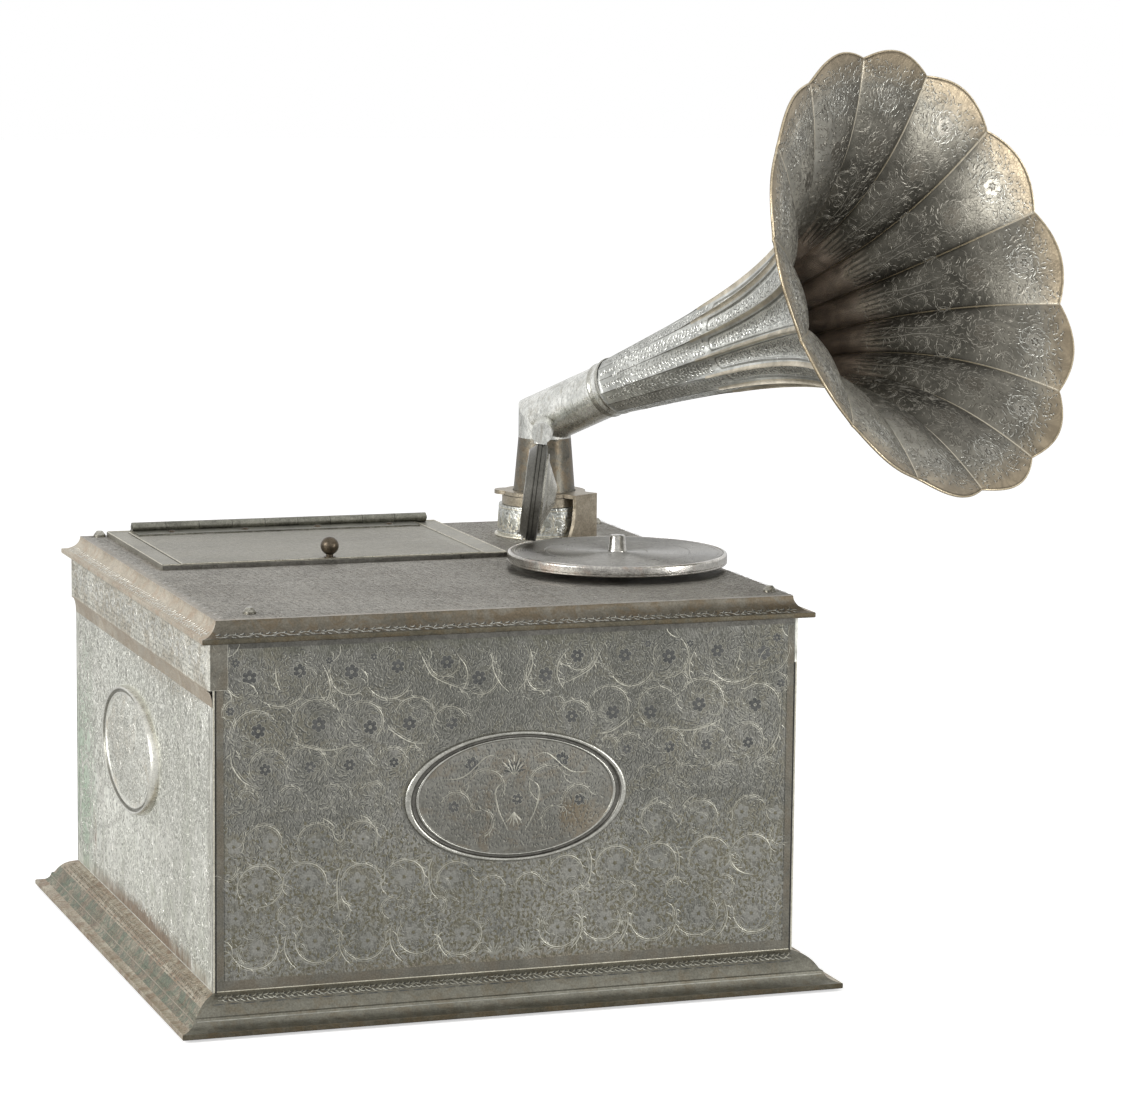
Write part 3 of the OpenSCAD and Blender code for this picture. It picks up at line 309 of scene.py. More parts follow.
# The deck's first mark is painted shadow of the turntable round its place; the second is a paler strip along
# the deck's left edge.
deck_metal = aged_metal("deck_metal", srgb(132, 128, 121), srgb(166, 162, 155), rough=(0.38, 0.56), grain=500,
                        speckle=0.25, chased=ACROSS_DECK, chased_depth=0.24, warm=srgb(146, 138, 126),
                        stretch=(0.5, 1.3, 1),
                        marks=(deck_shadow_and_mark(srgb(112, 108, 100), 110, -48, 90, 90, 0.6),
                               deck_shadow_and_mark(srgb(168, 160, 146), -165, -40, 14, 140, 0.5)))
lid_metal = aged_metal("lid_metal", srgb(134, 131, 121), srgb(160, 157, 146), rough=(0.34, 0.5),
                       stretch=(0.5, 1.4, 1), chased=ACROSS_DECK, chased_depth=0.08)

# %% Finishes of the engraver's lines and cuts
line_metal = aged_metal("line_metal", srgb(150, 148, 136), srgb(186, 184, 171), metallic=0.9,
                        rough=(0.28, 0.42), grain=300)
soft_line = aged_metal("soft_line", srgb(134, 133, 124), srgb(160, 159, 149), metallic=0.9, rough=(0.3, 0.44),
                       grain=300)
side_line = aged_metal("side_line", srgb(204, 203, 194), srgb(230, 229, 221), metallic=0.9, rough=(0.3, 0.45),
                       grain=300)
side_cut = aged_metal("side_cut", srgb(144, 144, 135), srgb(170, 170, 161), rough=(0.4, 0.55))
dark_cut = aged_metal("dark_cut", srgb(86, 86, 83), srgb(106, 106, 102), rough=(0.42, 0.58))
petal_cut = aged_metal("petal_cut", srgb(76, 77, 76), srgb(98, 98, 96), rough=(0.42, 0.58), cloud=60)
olive_cut = aged_metal("olive_cut", srgb(98, 95, 80), srgb(118, 114, 98), rough=(0.45, 0.6), cloud=40)
pale_inlay = aged_metal("pale_inlay", srgb(126, 126, 120), srgb(146, 145, 138), rough=(0.45, 0.6))

# %% Finishes of the turret, the sound box and the turntable
turret_metal = aged_metal("turret_metal", srgb(182, 183, 178), srgb(228, 228, 223), rough=(0.2, 0.36),
                          cloud=64, warm=srgb(176, 173, 164), warm_share=0.36, stretch=(1, 1, 0.5))
# The tone arm's lug has a smooth polished finish, and its paleness also stands for a bright highlight on it:
# painted highlight.
lug_metal = aged_metal("lug_metal", srgb(176, 176, 168), srgb(236, 236, 228), rough=(0.12, 0.24), cloud=90,
                       speckle=0.3)
post_metal = aged_metal("post_metal", srgb(83, 81, 73), srgb(125, 121, 111), rough=(0.26, 0.45), cloud=50,
                        warm=srgb(120, 107, 88), warm_share=0.42)
collar_metal = aged_metal("collar_metal", srgb(149, 151, 146), srgb(198, 199, 194), rough=(0.22, 0.4),
                          cloud=50, chased=(420, 420, 330), chased_depth=0.3)
strap_metal = aged_metal("strap_metal", srgb(137, 127, 110), srgb(173, 164, 147), rough=(0.3, 0.46), cloud=40)
box_metal = aged_metal("box_metal", srgb(85, 84, 78), srgb(112, 110, 104), metallic=0.75, rough=(0.32, 0.46),
                       cloud=60)
box_bright = aged_metal("box_bright", srgb(150, 148, 138), srgb(196, 193, 182), rough=(0.18, 0.32), cloud=60)
rim_metal = aged_metal("rim_metal", srgb(140, 137, 131), srgb(200, 197, 190), metallic=0.95,
                       rough=(0.14, 0.26), warm=srgb(172, 156, 144), cloud=24, warm_share=0.34)
platter_metal = aged_metal("platter_metal", srgb(130, 128, 124), srgb(165, 163, 158), rough=(0.26, 0.4),
                           cloud=30)

# %% Finishes of the small fittings, the motor and the inside
bronze = aged_metal("bronze", srgb(64, 57, 48), srgb(98, 88, 74), rough=(0.28, 0.42), cloud=60)
hinge_metal = aged_metal("hinge_metal", srgb(96, 95, 87), srgb(146, 145, 134), rough=(0.28, 0.42), cloud=60)
screw_metal = aged_metal("screw_metal", srgb(96, 93, 83), srgb(186, 183, 172), rough=(0.14, 0.28), cloud=120)
polished = aged_metal("polished", srgb(142, 140, 134), srgb(190, 188, 182), metallic=1.0, rough=(0.14, 0.26),
                      cloud=60)
bead_metal = aged_metal("bead_metal", srgb(150, 149, 141), srgb(192, 191, 183), metallic=0.95,
                        rough=(0.18, 0.3), cloud=40)
# A dark finish for hollows and faces in shade: painted shade, with some patina in the bosses' channels.
painted_shade_metal = aged_metal("painted_shade_metal", srgb(88, 87, 82), srgb(116, 114, 108), rough=(0.26, 0.4),
                           cloud=30)
motor_brass = aged_metal("motor_brass", srgb(150, 120, 62), srgb(196, 164, 92), rough=(0.3, 0.45))
motor_steel = aged_metal("motor_steel", srgb(120, 122, 124), srgb(168, 170, 172), rough=(0.3, 0.42))
wood = aged_metal("wood", srgb(70, 44, 26), srgb(112, 76, 46), metallic=0.0, rough=(0.5, 0.65), cloud=30,
                  stretch=(0.15, 1, 1), grain=400)
handle_wood = aged_metal("handle_wood", srgb(44, 26, 18), srgb(72, 44, 30), metallic=0.0, rough=(0.25, 0.36),
                         cloud=60, stretch=(1, 0.12, 1), grain=300)
felt = aged_metal("felt", srgb(30, 28, 26), srgb(52, 48, 44), metallic=0.0, rough=(0.9, 1.0), grain=1600,
                  bump=0.8)
mica = aged_metal("mica", srgb(186, 176, 150), srgb(214, 206, 184), metallic=0.0, rough=(0.15, 0.3))
shadow_gap = aged_metal("shadow_gap", srgb(30, 28, 25), srgb(44, 41, 36), metallic=0.0, rough=(0.7, 0.9))
print(len(bpy.data.materials), "materials")

# %% [markdown]
# ## Dressing the CAD pieces
# Most pieces keep their CAD shape and only need a finish. The other eight are replaced by finer
# shapes further down.

# %% Put the finishes on the CAD nodes
CAD_FINISHES = {
    front_sheet: "front_panel back_panel",
    side_metal: "left_panel right_panel",
    band_metal: "skirt_band",
    collar_metal: "turret_collar",
    deck_metal: "deck_plate",
    lid_metal: "lid_frame lid",
    turret_metal: "elbow throat",
    lug_metal: "tone_arm",
    post_metal: "post",
    strap_metal: "post_bracket swivel_ring",
    hinge_metal: "frame_hinge_leaf lid_hinge_leaf hinge_pin",
    bronze: "hinge_rivets lid_knob",
    screw_metal: "deck_screws",
    polished: "spindle needle needle_bar",
    motor_brass: "motor_top_plate motor_bottom_plate motor_pillars spring_barrel barrel_cover crown_wheel "
                 "intermediate_wheel spindle_wheel governor_weights crank_bush",
    motor_steel: "motor_hangers winding_arbor ratchet_wheel pawl crank_shaft winding_pinion crank_arm "
                 "intermediate_arbor governor_shaft friction_disc speed_lever mainspring",
    wood: "bottom_board corner_posts compartment_tray",
    handle_wood: "crank_handle",
    felt: "felt_feet",
    mica: "diaphragm",
}


def dress(piece, material):
    piece.data.materials.clear()
    piece.data.materials.append(material)


for material, names in CAD_FINISHES.items():
    for name in names.split():
        dress(nodes[name], material)

# %% [markdown]
# ## New pieces
# A new piece is a mesh that rides on one of the CAD bodies, so it moves with the lid, the
# turntable or the horn. `add_piece` makes one from points in metres and faces that name them.

# %% Add a piece
def add_piece(name, points, faces, material, body):
    mesh = bpy.data.meshes.new(name)
    mesh.from_pydata(np.asarray(points).tolist(), [], [list(map(int, face)) for face in faces])
    mesh.update()
    mesh.materials.append(material)
    mesh.polygons.foreach_set("use_smooth", [True] * len(mesh.polygons))
    piece = bpy.data.objects.new(name, mesh)
    bpy.context.scene.collection.objects.link(piece)
    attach(piece, body)
    return piece


def grid_faces(rows, columns, closed=False):
    """Quads of a grid of points that is stored row by row; closed joins the last column to the first."""
    i, j = np.meshgrid(np.arange(rows - 1), np.arange(columns if closed else columns - 1), indexing="ij")
    k = (j + 1) % columns
    quads = np.stack([i * columns + j, i * columns + k, (i + 1) * columns + k, (i + 1) * columns + j], -1)
    return quads.reshape(-1, 4)

# %% [markdown]
# ## A pen that engraves
# The whole case is covered in scrolls, leaves and flowers, cut with a graver. A graver's cut is
# a groove that swells and thins, and its sloped sides catch the light. Here each cut is a
# narrow ridge three points wide, which shines in the same way, and lies on the sheet like the
# real line does. A pen gathers cuts in flat millimetres, and one mesh is made from all of them.

# %% The pen
EDGE_LIFT, OVAL_EDGE_LIFT = 0.02, 0.03    # how far a cut's edges stand over the sheet, in mm
OVAL_SIDES = 8


class Pen:
    """Gathers strokes and small filled leaves as (u, v, height) points and makes them into one mesh."""

    def __init__(self):
        self.points, self.faces, self.count = [], [], 0

    def add(self, points, faces):
        self.points.append(points)
        self.faces.append(faces + self.count)
        self.count += len(points)

    def stroke(self, path, width, lift=0.2, swell=1.0):
        """A ridge along the path; swell 0 keeps its width, 1 thins it to points at both ends."""
        path = np.asarray(path, float)
        along = np.gradient(path, axis=0)
        along /= np.linalg.norm(along, axis=1)[:, None] + 1e-9
        across = np.column_stack([-along[:, 1], along[:, 0]])
        shape = (1 - swell) + swell * np.sin(np.pi * np.clip(np.linspace(0, 1, len(path)), 0.04, 0.96)) ** 0.7
        half = (width / 2 * shape)[:, None]
        rows = [path + across * half, path, path - across * half]
        low = np.full(len(path), EDGE_LIFT)
        heights = [low, lift * shape, low]
        block = np.stack([np.column_stack([row, h]) for row, h in zip(rows, heights)], 1).reshape(-1, 3)
        self.add(block, grid_faces(len(path), 3))

    def dashes(self, at, angle, length, width, bend, lift=0.16):
        """Many short curved cuts at once, each four points long."""
        at = np.asarray(at, float)
        n = len(at)
        angle, length, width, bend = (np.broadcast_to(a, n).astype(float)
                                      for a in (angle, length, width, bend))
        t = np.array([-0.5, -0.17, 0.17, 0.5])
        turn = angle[:, None] + bend[:, None] * t
        heading = np.stack([np.cos(turn), np.sin(turn)], -1)
        spine = at[:, None] + heading * (t * length[:, None])[..., None]
        side = np.stack([-heading[..., 1], heading[..., 0]], -1)
        half = (width[:, None] / 2 * np.array([0.15, 1.0, 0.8, 0.1]))[..., None]
        rows = np.stack([spine + side * half, spine, spine - side * half], 2)
        high = np.broadcast_to(np.array([EDGE_LIFT, lift, EDGE_LIFT]), (n, len(t), 3))[..., None]
        block = np.concatenate([rows, high], -1).reshape(-1, 3)
        starts = 3 * len(t) * np.arange(n)[:, None, None]
        self.add(block, (grid_faces(len(t), 3)[None] + starts).reshape(-1, 4))

    def ovals(self, at, angle, long, wide, lift=0.1):
        """Many low filled ovals at once, for petals and leaves."""
        at = np.asarray(at, float)
        n = len(at)
        angle, long, wide = (np.broadcast_to(a, n).astype(float)[:, None] for a in (angle, long, wide))
        t = np.linspace(0, 2 * np.pi, OVAL_SIDES, endpoint=False)[None]
        x, y = long * np.cos(t), wide * np.sin(t) * (1 - 0.25 * np.cos(t))
        ring = np.stack([at[:, :1] + x * np.cos(angle) - y * np.sin(angle),
                         at[:, 1:] + x * np.sin(angle) + y * np.cos(angle),
                         np.full((n, OVAL_SIDES), OVAL_EDGE_LIFT)], -1)
        middle_point = np.concatenate([at, np.full((n, 1), lift)], 1)[:, None]
        block = np.concatenate([middle_point, ring], 1).reshape(-1, 3)
        j = np.arange(0, OVAL_SIDES, 2)
        quads = np.stack([0 * j, 1 + j, 1 + (j + 1) % OVAL_SIDES, 1 + (j + 2) % OVAL_SIDES], -1)
        starts = (1 + OVAL_SIDES) * np.arange(n)[:, None, None]
        self.add(block, (quads[None] + starts).reshape(-1, 4))

    def make(self, name, place, material, body, slot):
        """One piece of all the strokes; place turns their points into metres on the object."""
        return add_piece(name, place(np.concatenate(self.points)), np.concatenate(self.faces), material, body)


def flat(origin, across, upward, outward):
    """A place function for a flat face: across and upward in mm from origin, raised outward."""
    axes = np.array([across, upward, outward], float)
    start = np.array(origin, float)
    return lambda points: start + points @ axes * MM

# %% [markdown]
# ## Motifs
# Engravers of such cases worked from a few motifs: a comma leaf, a flower of round petals, and
# a stem that rolls up into a ring. Each one here is a handful of strokes or ovals.

# %% Leaf, ring and flower
def polar(centre, radius, angle):
    return np.column_stack([centre[0] + radius * np.cos(angle), centre[1] + radius * np.sin(angle)])


def leaf(pen, at, angle, length, width, bend):
    turn = angle + bend * (np.linspace(0, 1, 5) - 0.5)
    steps = np.column_stack([np.cos(turn), np.sin(turn)]) * length / 4
    pen.stroke(np.array(at, float) + np.vstack([[0, 0], np.cumsum(steps[:-1], axis=0)]), width)


def ring_stem(pen, centre, radius, start, sweep, width):
    """A stem that curls in round a flower, with fine cuts beside it and leaves along it."""
    hand = np.sign(sweep)
    start = start + rng.uniform(-14, 14)
    reach = abs(sweep) * rng.uniform(0.72, 0.9)
    t = np.linspace(0, 1, max(8, int(reach / 9)))
    turn = np.radians(start + hand * reach * t)
    curl = radius * (1.2 - 0.42 * t ** 0.8)
    pen.stroke(polar(centre, curl, turn), width * 0.5, swell=0.9)
    half = t[t < 0.62]
    pen.stroke(polar(centre, curl[:len(half)] + 0.9, turn[:len(half)] + hand * 0.1), 0.3, swell=0.9)
    pen.stroke(polar(centre, curl[2:] - 1.0, turn[2:]), 0.26, swell=0.8)
    first, heading = polar(centre, curl[:1], turn[:1])[0], turn[0] - hand * (math.pi / 2 - 0.3)
    leaf(pen, first, heading, radius * rng.uniform(0.7, 1.0), width * 0.45, hand * 1.5)
    leaf(pen, first, heading + hand * 0.5, radius * 0.5, 0.4, hand * 1.2)
    for a in np.arange(12, reach - 20, 30):
        spot = np.radians(start + hand * a)
        out = radius * (1.2 - 0.42 * (a / reach) ** 0.8)
        leaf(pen, polar(centre, out + 0.3, np.array([spot]))[0], spot + hand * rng.uniform(1.0, 1.5),
             radius * rng.uniform(0.3, 0.6), 0.5, -hand * 1.4)


def round_flower(petal_pen, outline_pen, at, radius, petals, turn=0.3, core=None):
    """Round filled petals, each with a light outline, round a small core."""
    angle = turn + np.arange(petals) * 2 * np.pi / petals
    spots = polar(at, radius * 0.6, angle)
    petal_pen.ovals(spots, angle, radius * 0.4, radius * 0.37)
    if outline_pen:
        for spot, a in zip(spots, angle):
            outline_pen.stroke(polar(spot, radius * 0.4, a + np.linspace(-1.9, 1.9, 6)), 0.3, swell=0.4)
        outline_pen.stroke(polar(at, radius * 0.2, np.linspace(0, 2 * np.pi, 7)), 0.34, swell=0)
    if core:
        core.ovals([at], 0, radius * 0.2, radius * 0.2, lift=0.16)


def palmette(pen, at, size, up=1, rays=7):
    for k in range(rays):
        a = math.pi / 2 * up + (k - (rays - 1) / 2) * 0.36
        leaf(pen, at, a, size * (1 - 0.05 * abs(k - rays // 2)), 0.9, (k - rays // 2) * 0.12)
        leaf(pen, at, a + 0.08, size * 0.8, 0.4, 0.2)

# %% [markdown]
# ## Laying out a face
# The engraver drew one quarter of a face and mirrored it. Above the middle line the stems are
# light on a mid grey and the flowers dark; below it the flowers are filled and pale. Heights are
# in mm above the ground and places across are in mm from the middle of the case.

# %% The quarter drawing
UPPER_STEMS = (   # place across, height, radius, start angle, sweep, width of the cut
    (-154, 199, 15, 146, 140, 1.5), (-133, 199, 16.5, 212, 165, 1.6), (-94, 198, 12.5, 132, 226, 1.5),
    (-70, 197, 14, 184, 176, 1.6), (-39, 203, 9, 160, 200, 1.2), (-20, 193, 11, 40, -220, 1.3),
    (-149, 168, 14, 200, -250, 1.2), (-117, 171, 14, 20, 260, 1.2), (-87, 170, 12, 150, -250, 1.2),
    (-60, 172, 12, 10, 250, 1.2), (-145, 147, 11, 20, 250, 0.9), (-119, 147, 11, 160, -250, 0.9),
    (-96, 147, 10.5, 20, 250, 0.9), (-70, 147, 8.5, 160, -250, 0.8), (-36, 168, 10, 200, -240, 1.0),
    (-45, 146, 9, 20, 250, 0.9), (-18, 150, 11, 160, -250, 1.0), (-157, 130, 7, 0, 180, 0.6),
    (-132, 130, 7, 0, 180, 0.6), (-108, 130, 7, 0, 180, 0.6), (-84, 130, 7, 0, 180, 0.6),
    (-163, 182, 6, 240, -200, 0.8), (-101, 184, 6, 60, 240, 0.7), (-60, 150, 5, 0, 250, 0.6))
UPPER_FLOWERS = (   # place across, height, radius
    (-154, 199.5, 5), (-125, 202, 4.6), (-95, 200, 5), (-68, 202, 4.6), (-39, 203, 4.6), (-20, 193, 5),
    (-162, 208, 3), (-165, 181, 3), (-114, 171, 5), (-84, 168, 4.8), (-61, 169, 4.8), (-149, 169, 4.8),
    (-145, 147, 4), (-119, 147, 4), (-96, 147, 4), (-70, 147, 3.4), (-36, 168, 4.4), (-45, 146, 3.6),
    (-18, 150, 4.4), (-108, 207, 2.6), (-82, 208, 2.6))
UPPER_SWEEPS = (   # the corners of each curve
    ((-57, 213), (-52, 203), (-47, 195), (-35, 189), (-27, 187)), ((-139, 204), (-138.5, 197), (-136, 190)),
    ((-130, 163), (-120, 158), (-108, 156), (-95, 158)), ((-74, 169), (-70, 164), (-60, 158), (-50, 157)),
    ((-112, 205), (-108, 196), (-108, 188), (-112, 181)), ((-10, 210), (-12, 200), (-8, 190), (-2, 184)),
    ((-165, 160), (-164, 150), (-158, 141), (-150, 137)), ((-33, 207), (-28, 200), (-27, 192), (-31, 184)))
LOWER_STEMS = (
    (-117, 103, 11, 20, 260, 1.6), (-88, 104, 10, 160, -260, 1.5), (-145, 104, 11, 160, -250, 1.3),
    (-150, 79, 13, 20, 240, 1.6), (-120, 79, 13, 160, -240, 1.5), (-91, 78, 12, 20, 240, 1.6),
    (-62, 78, 12, 160, -240, 1.6), (-35, 76, 11, 20, 240, 1.4), (-149, 47, 13.5, 200, 250, 1.6),
    (-116, 48, 13.5, 340, -250, 1.5), (-85, 47, 13, 200, 250, 1.6), (-57, 48, 12, 340, -250, 1.5),
    (-28, 46, 12.5, 200, 250, 1.5), (-10, 70, 8, 160, -240, 1.1), (-132, 62, 6, 60, 250, 0.9),
    (-101, 62, 6, 120, -250, 0.9), (-71, 62, 6, 60, 250, 0.9), (-43, 62, 5, 120, -250, 0.9),
    (-166, 92, 6, 250, 200, 0.9), (-46, 101, 9, 20, 250, 1.2), (-18, 98, 10, 160, -250, 1.2))
LOWER_FLOWERS = (
    (-163, 104, 5.4), (-142, 106, 5.6), (-150, 81, 6), (-120, 83, 6), (-91, 80, 6.2), (-63.5, 80.5, 6.4),
    (-36, 78, 6), (-162, 63, 5.2), (-149, 45, 6.2), (-116, 47, 6.2), (-85, 45, 6.2), (-58, 48, 6),
    (-29, 45, 6), (-117, 104, 4.6), (-88, 104, 4.4), (-134, 61, 3.6), (-101, 61, 3.6), (-72, 60, 3.6),
    (-46, 101, 4), (-18, 98, 4.4), (-10, 68, 3.6))
LOWER_SWEEPS = (
    ((-113, 118), (-108, 115), (-104, 111)), ((-91, 118), (-86, 116), (-82, 111)),
    ((-134, 84), (-136, 76), (-142, 70), (-150, 68)), ((-100, 90), (-103, 82), (-103, 70), (-102, 62)),
    ((-101, 72), (-99, 68), (-95, 66)), ((-46, 92), (-49, 84), (-48, 72), (-43, 66)),
    ((-168, 76), (-166, 66), (-168, 52), (-162, 40)), ((-132, 54), (-134, 44), (-131, 36), (-126, 31)),
    ((-101, 54), (-102, 44), (-99, 36), (-94, 31)), ((-71, 54), (-72, 44), (-69, 36), (-64, 31)),
    ((-43, 54), (-44, 44), (-41, 36), (-36, 31)))
MIDDLE_LINE = 124.5


def smooth_path(corners, steps=5):
    """A smooth curve that passes through a few corners."""
    p = np.array([corners[0], *corners, corners[-1]], float)
    t = np.linspace(0, 1, steps, endpoint=False)[:, None]
    parts = [0.5 * (2 * b + (c - a) * t + (2 * a - 5 * b + 4 * c - d) * t ** 2
                    + (3 * b - a - 3 * c + d) * t ** 3)
             for a, b, c, d in zip(p, p[1:], p[2:], p[3:])]
    return np.vstack(parts + [p[-1:]])

# %% [markdown]
# ## Filling the ground
# Between the stems the ground is full of short, close cuts. They stand nearly upright, and near
# a stem they follow its curve. Thousands of them are placed at once as arrays: a jittered grid
# gives their places, and the nearest stem gives their direction.

# %% The small cuts of the ground
def ground_cuts(stems, flowers, half_width, low, high, free, pitch):
    """Places and angles of the small cuts that fill a face between two heights."""
    u, v = np.meshgrid(np.arange(-half_width, half_width, pitch[0]), np.arange(low, high, pitch[1]))
    v = v + (np.round(u / pitch[0]) % 2) * pitch[1] / 2
    at = np.column_stack([u.ravel(), v.ravel()]) + rng.uniform(-0.9, 0.9, (u.size, 2))
    centres = np.array([(s * a[0], a[1]) for a in stems for s in (1, -1)], float)
    radii = np.array([a[2] for a in stems for s in (1, -1)], float)
    away = at[:, None] - centres[None]
    distance = np.linalg.norm(away, axis=2) / radii
    nearest = distance.argmin(1)
    share = distance[np.arange(len(at)), nearest]
    offset = away[np.arange(len(at)), nearest]
    tangent = np.arctan2(offset[:, 1], offset[:, 0]) + math.pi / 2 + 0.5
    upright = np.pi / 2 + rng.uniform(-0.5, 0.5, len(at))
    angle = np.where((share < 1.3) & (rng.random(len(at)) < 0.55), tangent, upright)
    spots = np.array([(s * a[0], a[1]) for a in flowers for s in (1, -1)], float)
    rooms = np.array([a[2] for a in flowers for s in (1, -1)], float)
    covered = (np.linalg.norm(at[:, None] - spots[None], axis=2) < rooms + 0.6).any(1)
    keep = free(at, 1.0) & ~covered & (rng.random(len(at)) < 0.94)
    return at[keep], angle[keep]

# %% Where a face is free
FOOT_LINE, HEAD_LINE = 27.6, 216                        # the plain margins below and above the engraving
UPPER_GROUND, LOWER_GROUND = (84, 214), (29, 118)       # from which height to which the ground is cut
LITTLE_RINGS = 64                                       # more small rings on each half of a face


def free_part(margin, oval_at, oval):
    """A test for places on a face: within its margins and, where it has a boss, clear of that."""
    def free(at, room):
        at = np.atleast_2d(at)
        across = np.abs(at[:, 0]) < margin
        if oval is None:
            return across
        return across & (((at[:, 0] - oval_at) / (oval[0] + room)) ** 2
                         + ((at[:, 1] - OVAL_Z) / (oval[1] + room)) ** 2 > 1)
    return free

# %% Draw the motifs on one half of a face
def draw_stems(pens, free, side, stems):
    for u, v, radius, start, sweep, width in stems:
        if free((side * u, v), radius * 0.9).all():
            turn = start if side > 0 else 180 - start
            ring_stem(pens["light"], (side * u, v), radius, turn, side * sweep, width)


def draw_flowers(pens, free, side, flowers, upper):
    for u, v, radius in flowers:
        if free((side * u, v), radius + 1).all():
            if upper:
                round_flower(pens["petal"], pens["fine"], (side * u, v), radius * 0.92, 6, rng.uniform(0, 1))
            else:
                round_flower(pens["lower"], None, (side * u, v), radius * 0.88, 5, rng.uniform(0, 1),
                             core=pens["ground"])


def draw_sweeps(pens, free, side, sweeps):
    for corners in sweeps:
        path = smooth_path(corners) * (side, 1)
        if free(path, 1).all():
            pens["light"].stroke(path, 0.8, lift=0.3)
            pens["light"].stroke(path + (side * 1.5, 0.5), 0.3)
            for k in range(2, len(path) - 2, 3):
                heading = math.atan2(*(path[k + 1] - path[k])[::-1])
                leaf(pens["light"], path[k], heading - side * 0.8, 3.8, 0.6, side * 0.6)


def draw_little_rings(pens, free, side, margin):
    for u, v in zip(rng.uniform(6, margin - 6, LITTLE_RINGS), rng.uniform(32, 210, LITTLE_RINGS)):
        radius = rng.uniform(3.4, 6.4)
        if free((side * u, v), radius + 1).all():
            start, sweep = rng.uniform(0, 360), rng.choice((-1, 1)) * 230
            ring_stem(pens["fine"], (side * u, v), radius, start, sweep, 1.0)

# %% Fill the ground of a face
def fill_upper_ground(pens, free, margin):
    """Close upright cuts that fade out downward, each with a fine light one beside it."""
    low = UPPER_GROUND[0]
    at, angle = ground_cuts(UPPER_STEMS + LOWER_STEMS, UPPER_FLOWERS + LOWER_FLOWERS, margin, *UPPER_GROUND,
                            free, (1.9, 3.0))
    fade = np.clip((at[:, 1] - low) / 30, 0, 1) * np.clip((HEAD_LINE - at[:, 1]) / 8, 0, 1)
    kept = rng.random(len(at)) < fade
    at, angle = at[kept], angle[kept]
    size = rng.uniform(0.6, 1.4, len(at))
    bend = rng.uniform(-1.6, 1.6, len(at))
    pens["cut"].dashes(at, angle, 2.9 * size, 0.75, bend)
    beside = at + 0.62 * np.column_stack([-np.sin(angle), np.cos(angle)])
    pens["fine"].dashes(beside, angle, 3.0 * size, 0.46, bend)


def fill_lower_ground(pens, free, margin):
    """Broad shallow cuts that fade out upward, with pale ovals and fine light cuts among them."""
    high = LOWER_GROUND[1]
    at, angle = ground_cuts(LOWER_STEMS, LOWER_FLOWERS, margin, *LOWER_GROUND, free, (2.7, 2.9))
    kept = rng.random(len(at)) < np.clip((high - at[:, 1]) / 24, 0, 1)
    at, angle = at[kept], angle[kept]
    size = rng.uniform(0.5, 1.3, len(at))
    pens["ground"].dashes(at, angle + rng.uniform(-1, 1, len(at)), 3.3 * size, 1.5 * size,
                          rng.uniform(-2, 2, len(at)), lift=0.05)
    pens["lower"].ovals(at[::2] + rng.uniform(-1.4, 1.4, at[::2].shape), rng.uniform(0, 3, len(at[::2])), 1.8,
                        0.85)
    pens["fine"].dashes(at + 1.1, angle, 2.6 * size, 0.4, rng.uniform(-2, 2, len(at)))


def draw_middle_line(pens, free, margin):
    u = np.arange(-margin, margin, 4.2)
    line = np.column_stack([u, np.full(len(u), MIDDLE_LINE)])
    line = line[free(line, 2)]
    for sign in (1, -1):
        pens["fine"].dashes(line + (0, sign * 1.5), sign * 0.6, 3.2, 0.6, 0.6)

# %% Engrave a face
def engrave(face, place, half_width, oval_at, oval, light, fine, cut, petal, lower_petal, lower_ground):
    """All the engraving of one face as six pieces, one for each tone of cut."""
    margin = half_width - 7
    pens = {name: Pen() for name in ("light", "fine", "cut", "petal", "lower", "ground")}
    free = free_part(margin, oval_at, oval)
    for side in (1, -1):
        for stems, flowers, sweeps in ((UPPER_STEMS, UPPER_FLOWERS, UPPER_SWEEPS),
                                       (LOWER_STEMS, LOWER_FLOWERS, LOWER_SWEEPS)):
            draw_stems(pens, free, side, stems)
            draw_flowers(pens, free, side, flowers, upper=flowers is UPPER_FLOWERS)
            draw_sweeps(pens, free, side, sweeps)
        palmette(pens["fine"], (side * 10, 31), 9)
        draw_little_rings(pens, free, side, margin)
    fill_upper_ground(pens, free, margin)
    fill_lower_ground(pens, free, margin)
    draw_middle_line(pens, free, margin)
    materials = {"light": light, "fine": fine, "cut": cut, "petal": petal, "lower": lower_petal,
                 "ground": lower_ground}
    for name, pen in pens.items():
        pen.make(face + "_" + name + "_engraving", place, materials[name], "case", "engraved_silver")
    print(face, sum(pen.count for pen in pens.values()), "points of engraving")

# %% Engrave the four sides
panel_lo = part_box("left_panel")[0]
half_w, half_d = -panel_lo.x, -panel_lo.y
oval_lo, oval_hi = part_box("front_medallion")
OVAL_X = (oval_lo.x + oval_hi.x) / 2 / MM
OVAL_Z = (oval_lo.z + oval_hi.z) / 2 / MM
side_oval_lo, side_oval_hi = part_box("side_medallions")
OVAL_Y = (side_oval_lo.y + side_oval_hi.y) / 2 / MM
OVAL = (67, 38)
print("oval centre", round(OVAL_X, 1), round(OVAL_Y, 1), round(OVAL_Z, 1), "half width", half_w, half_d)

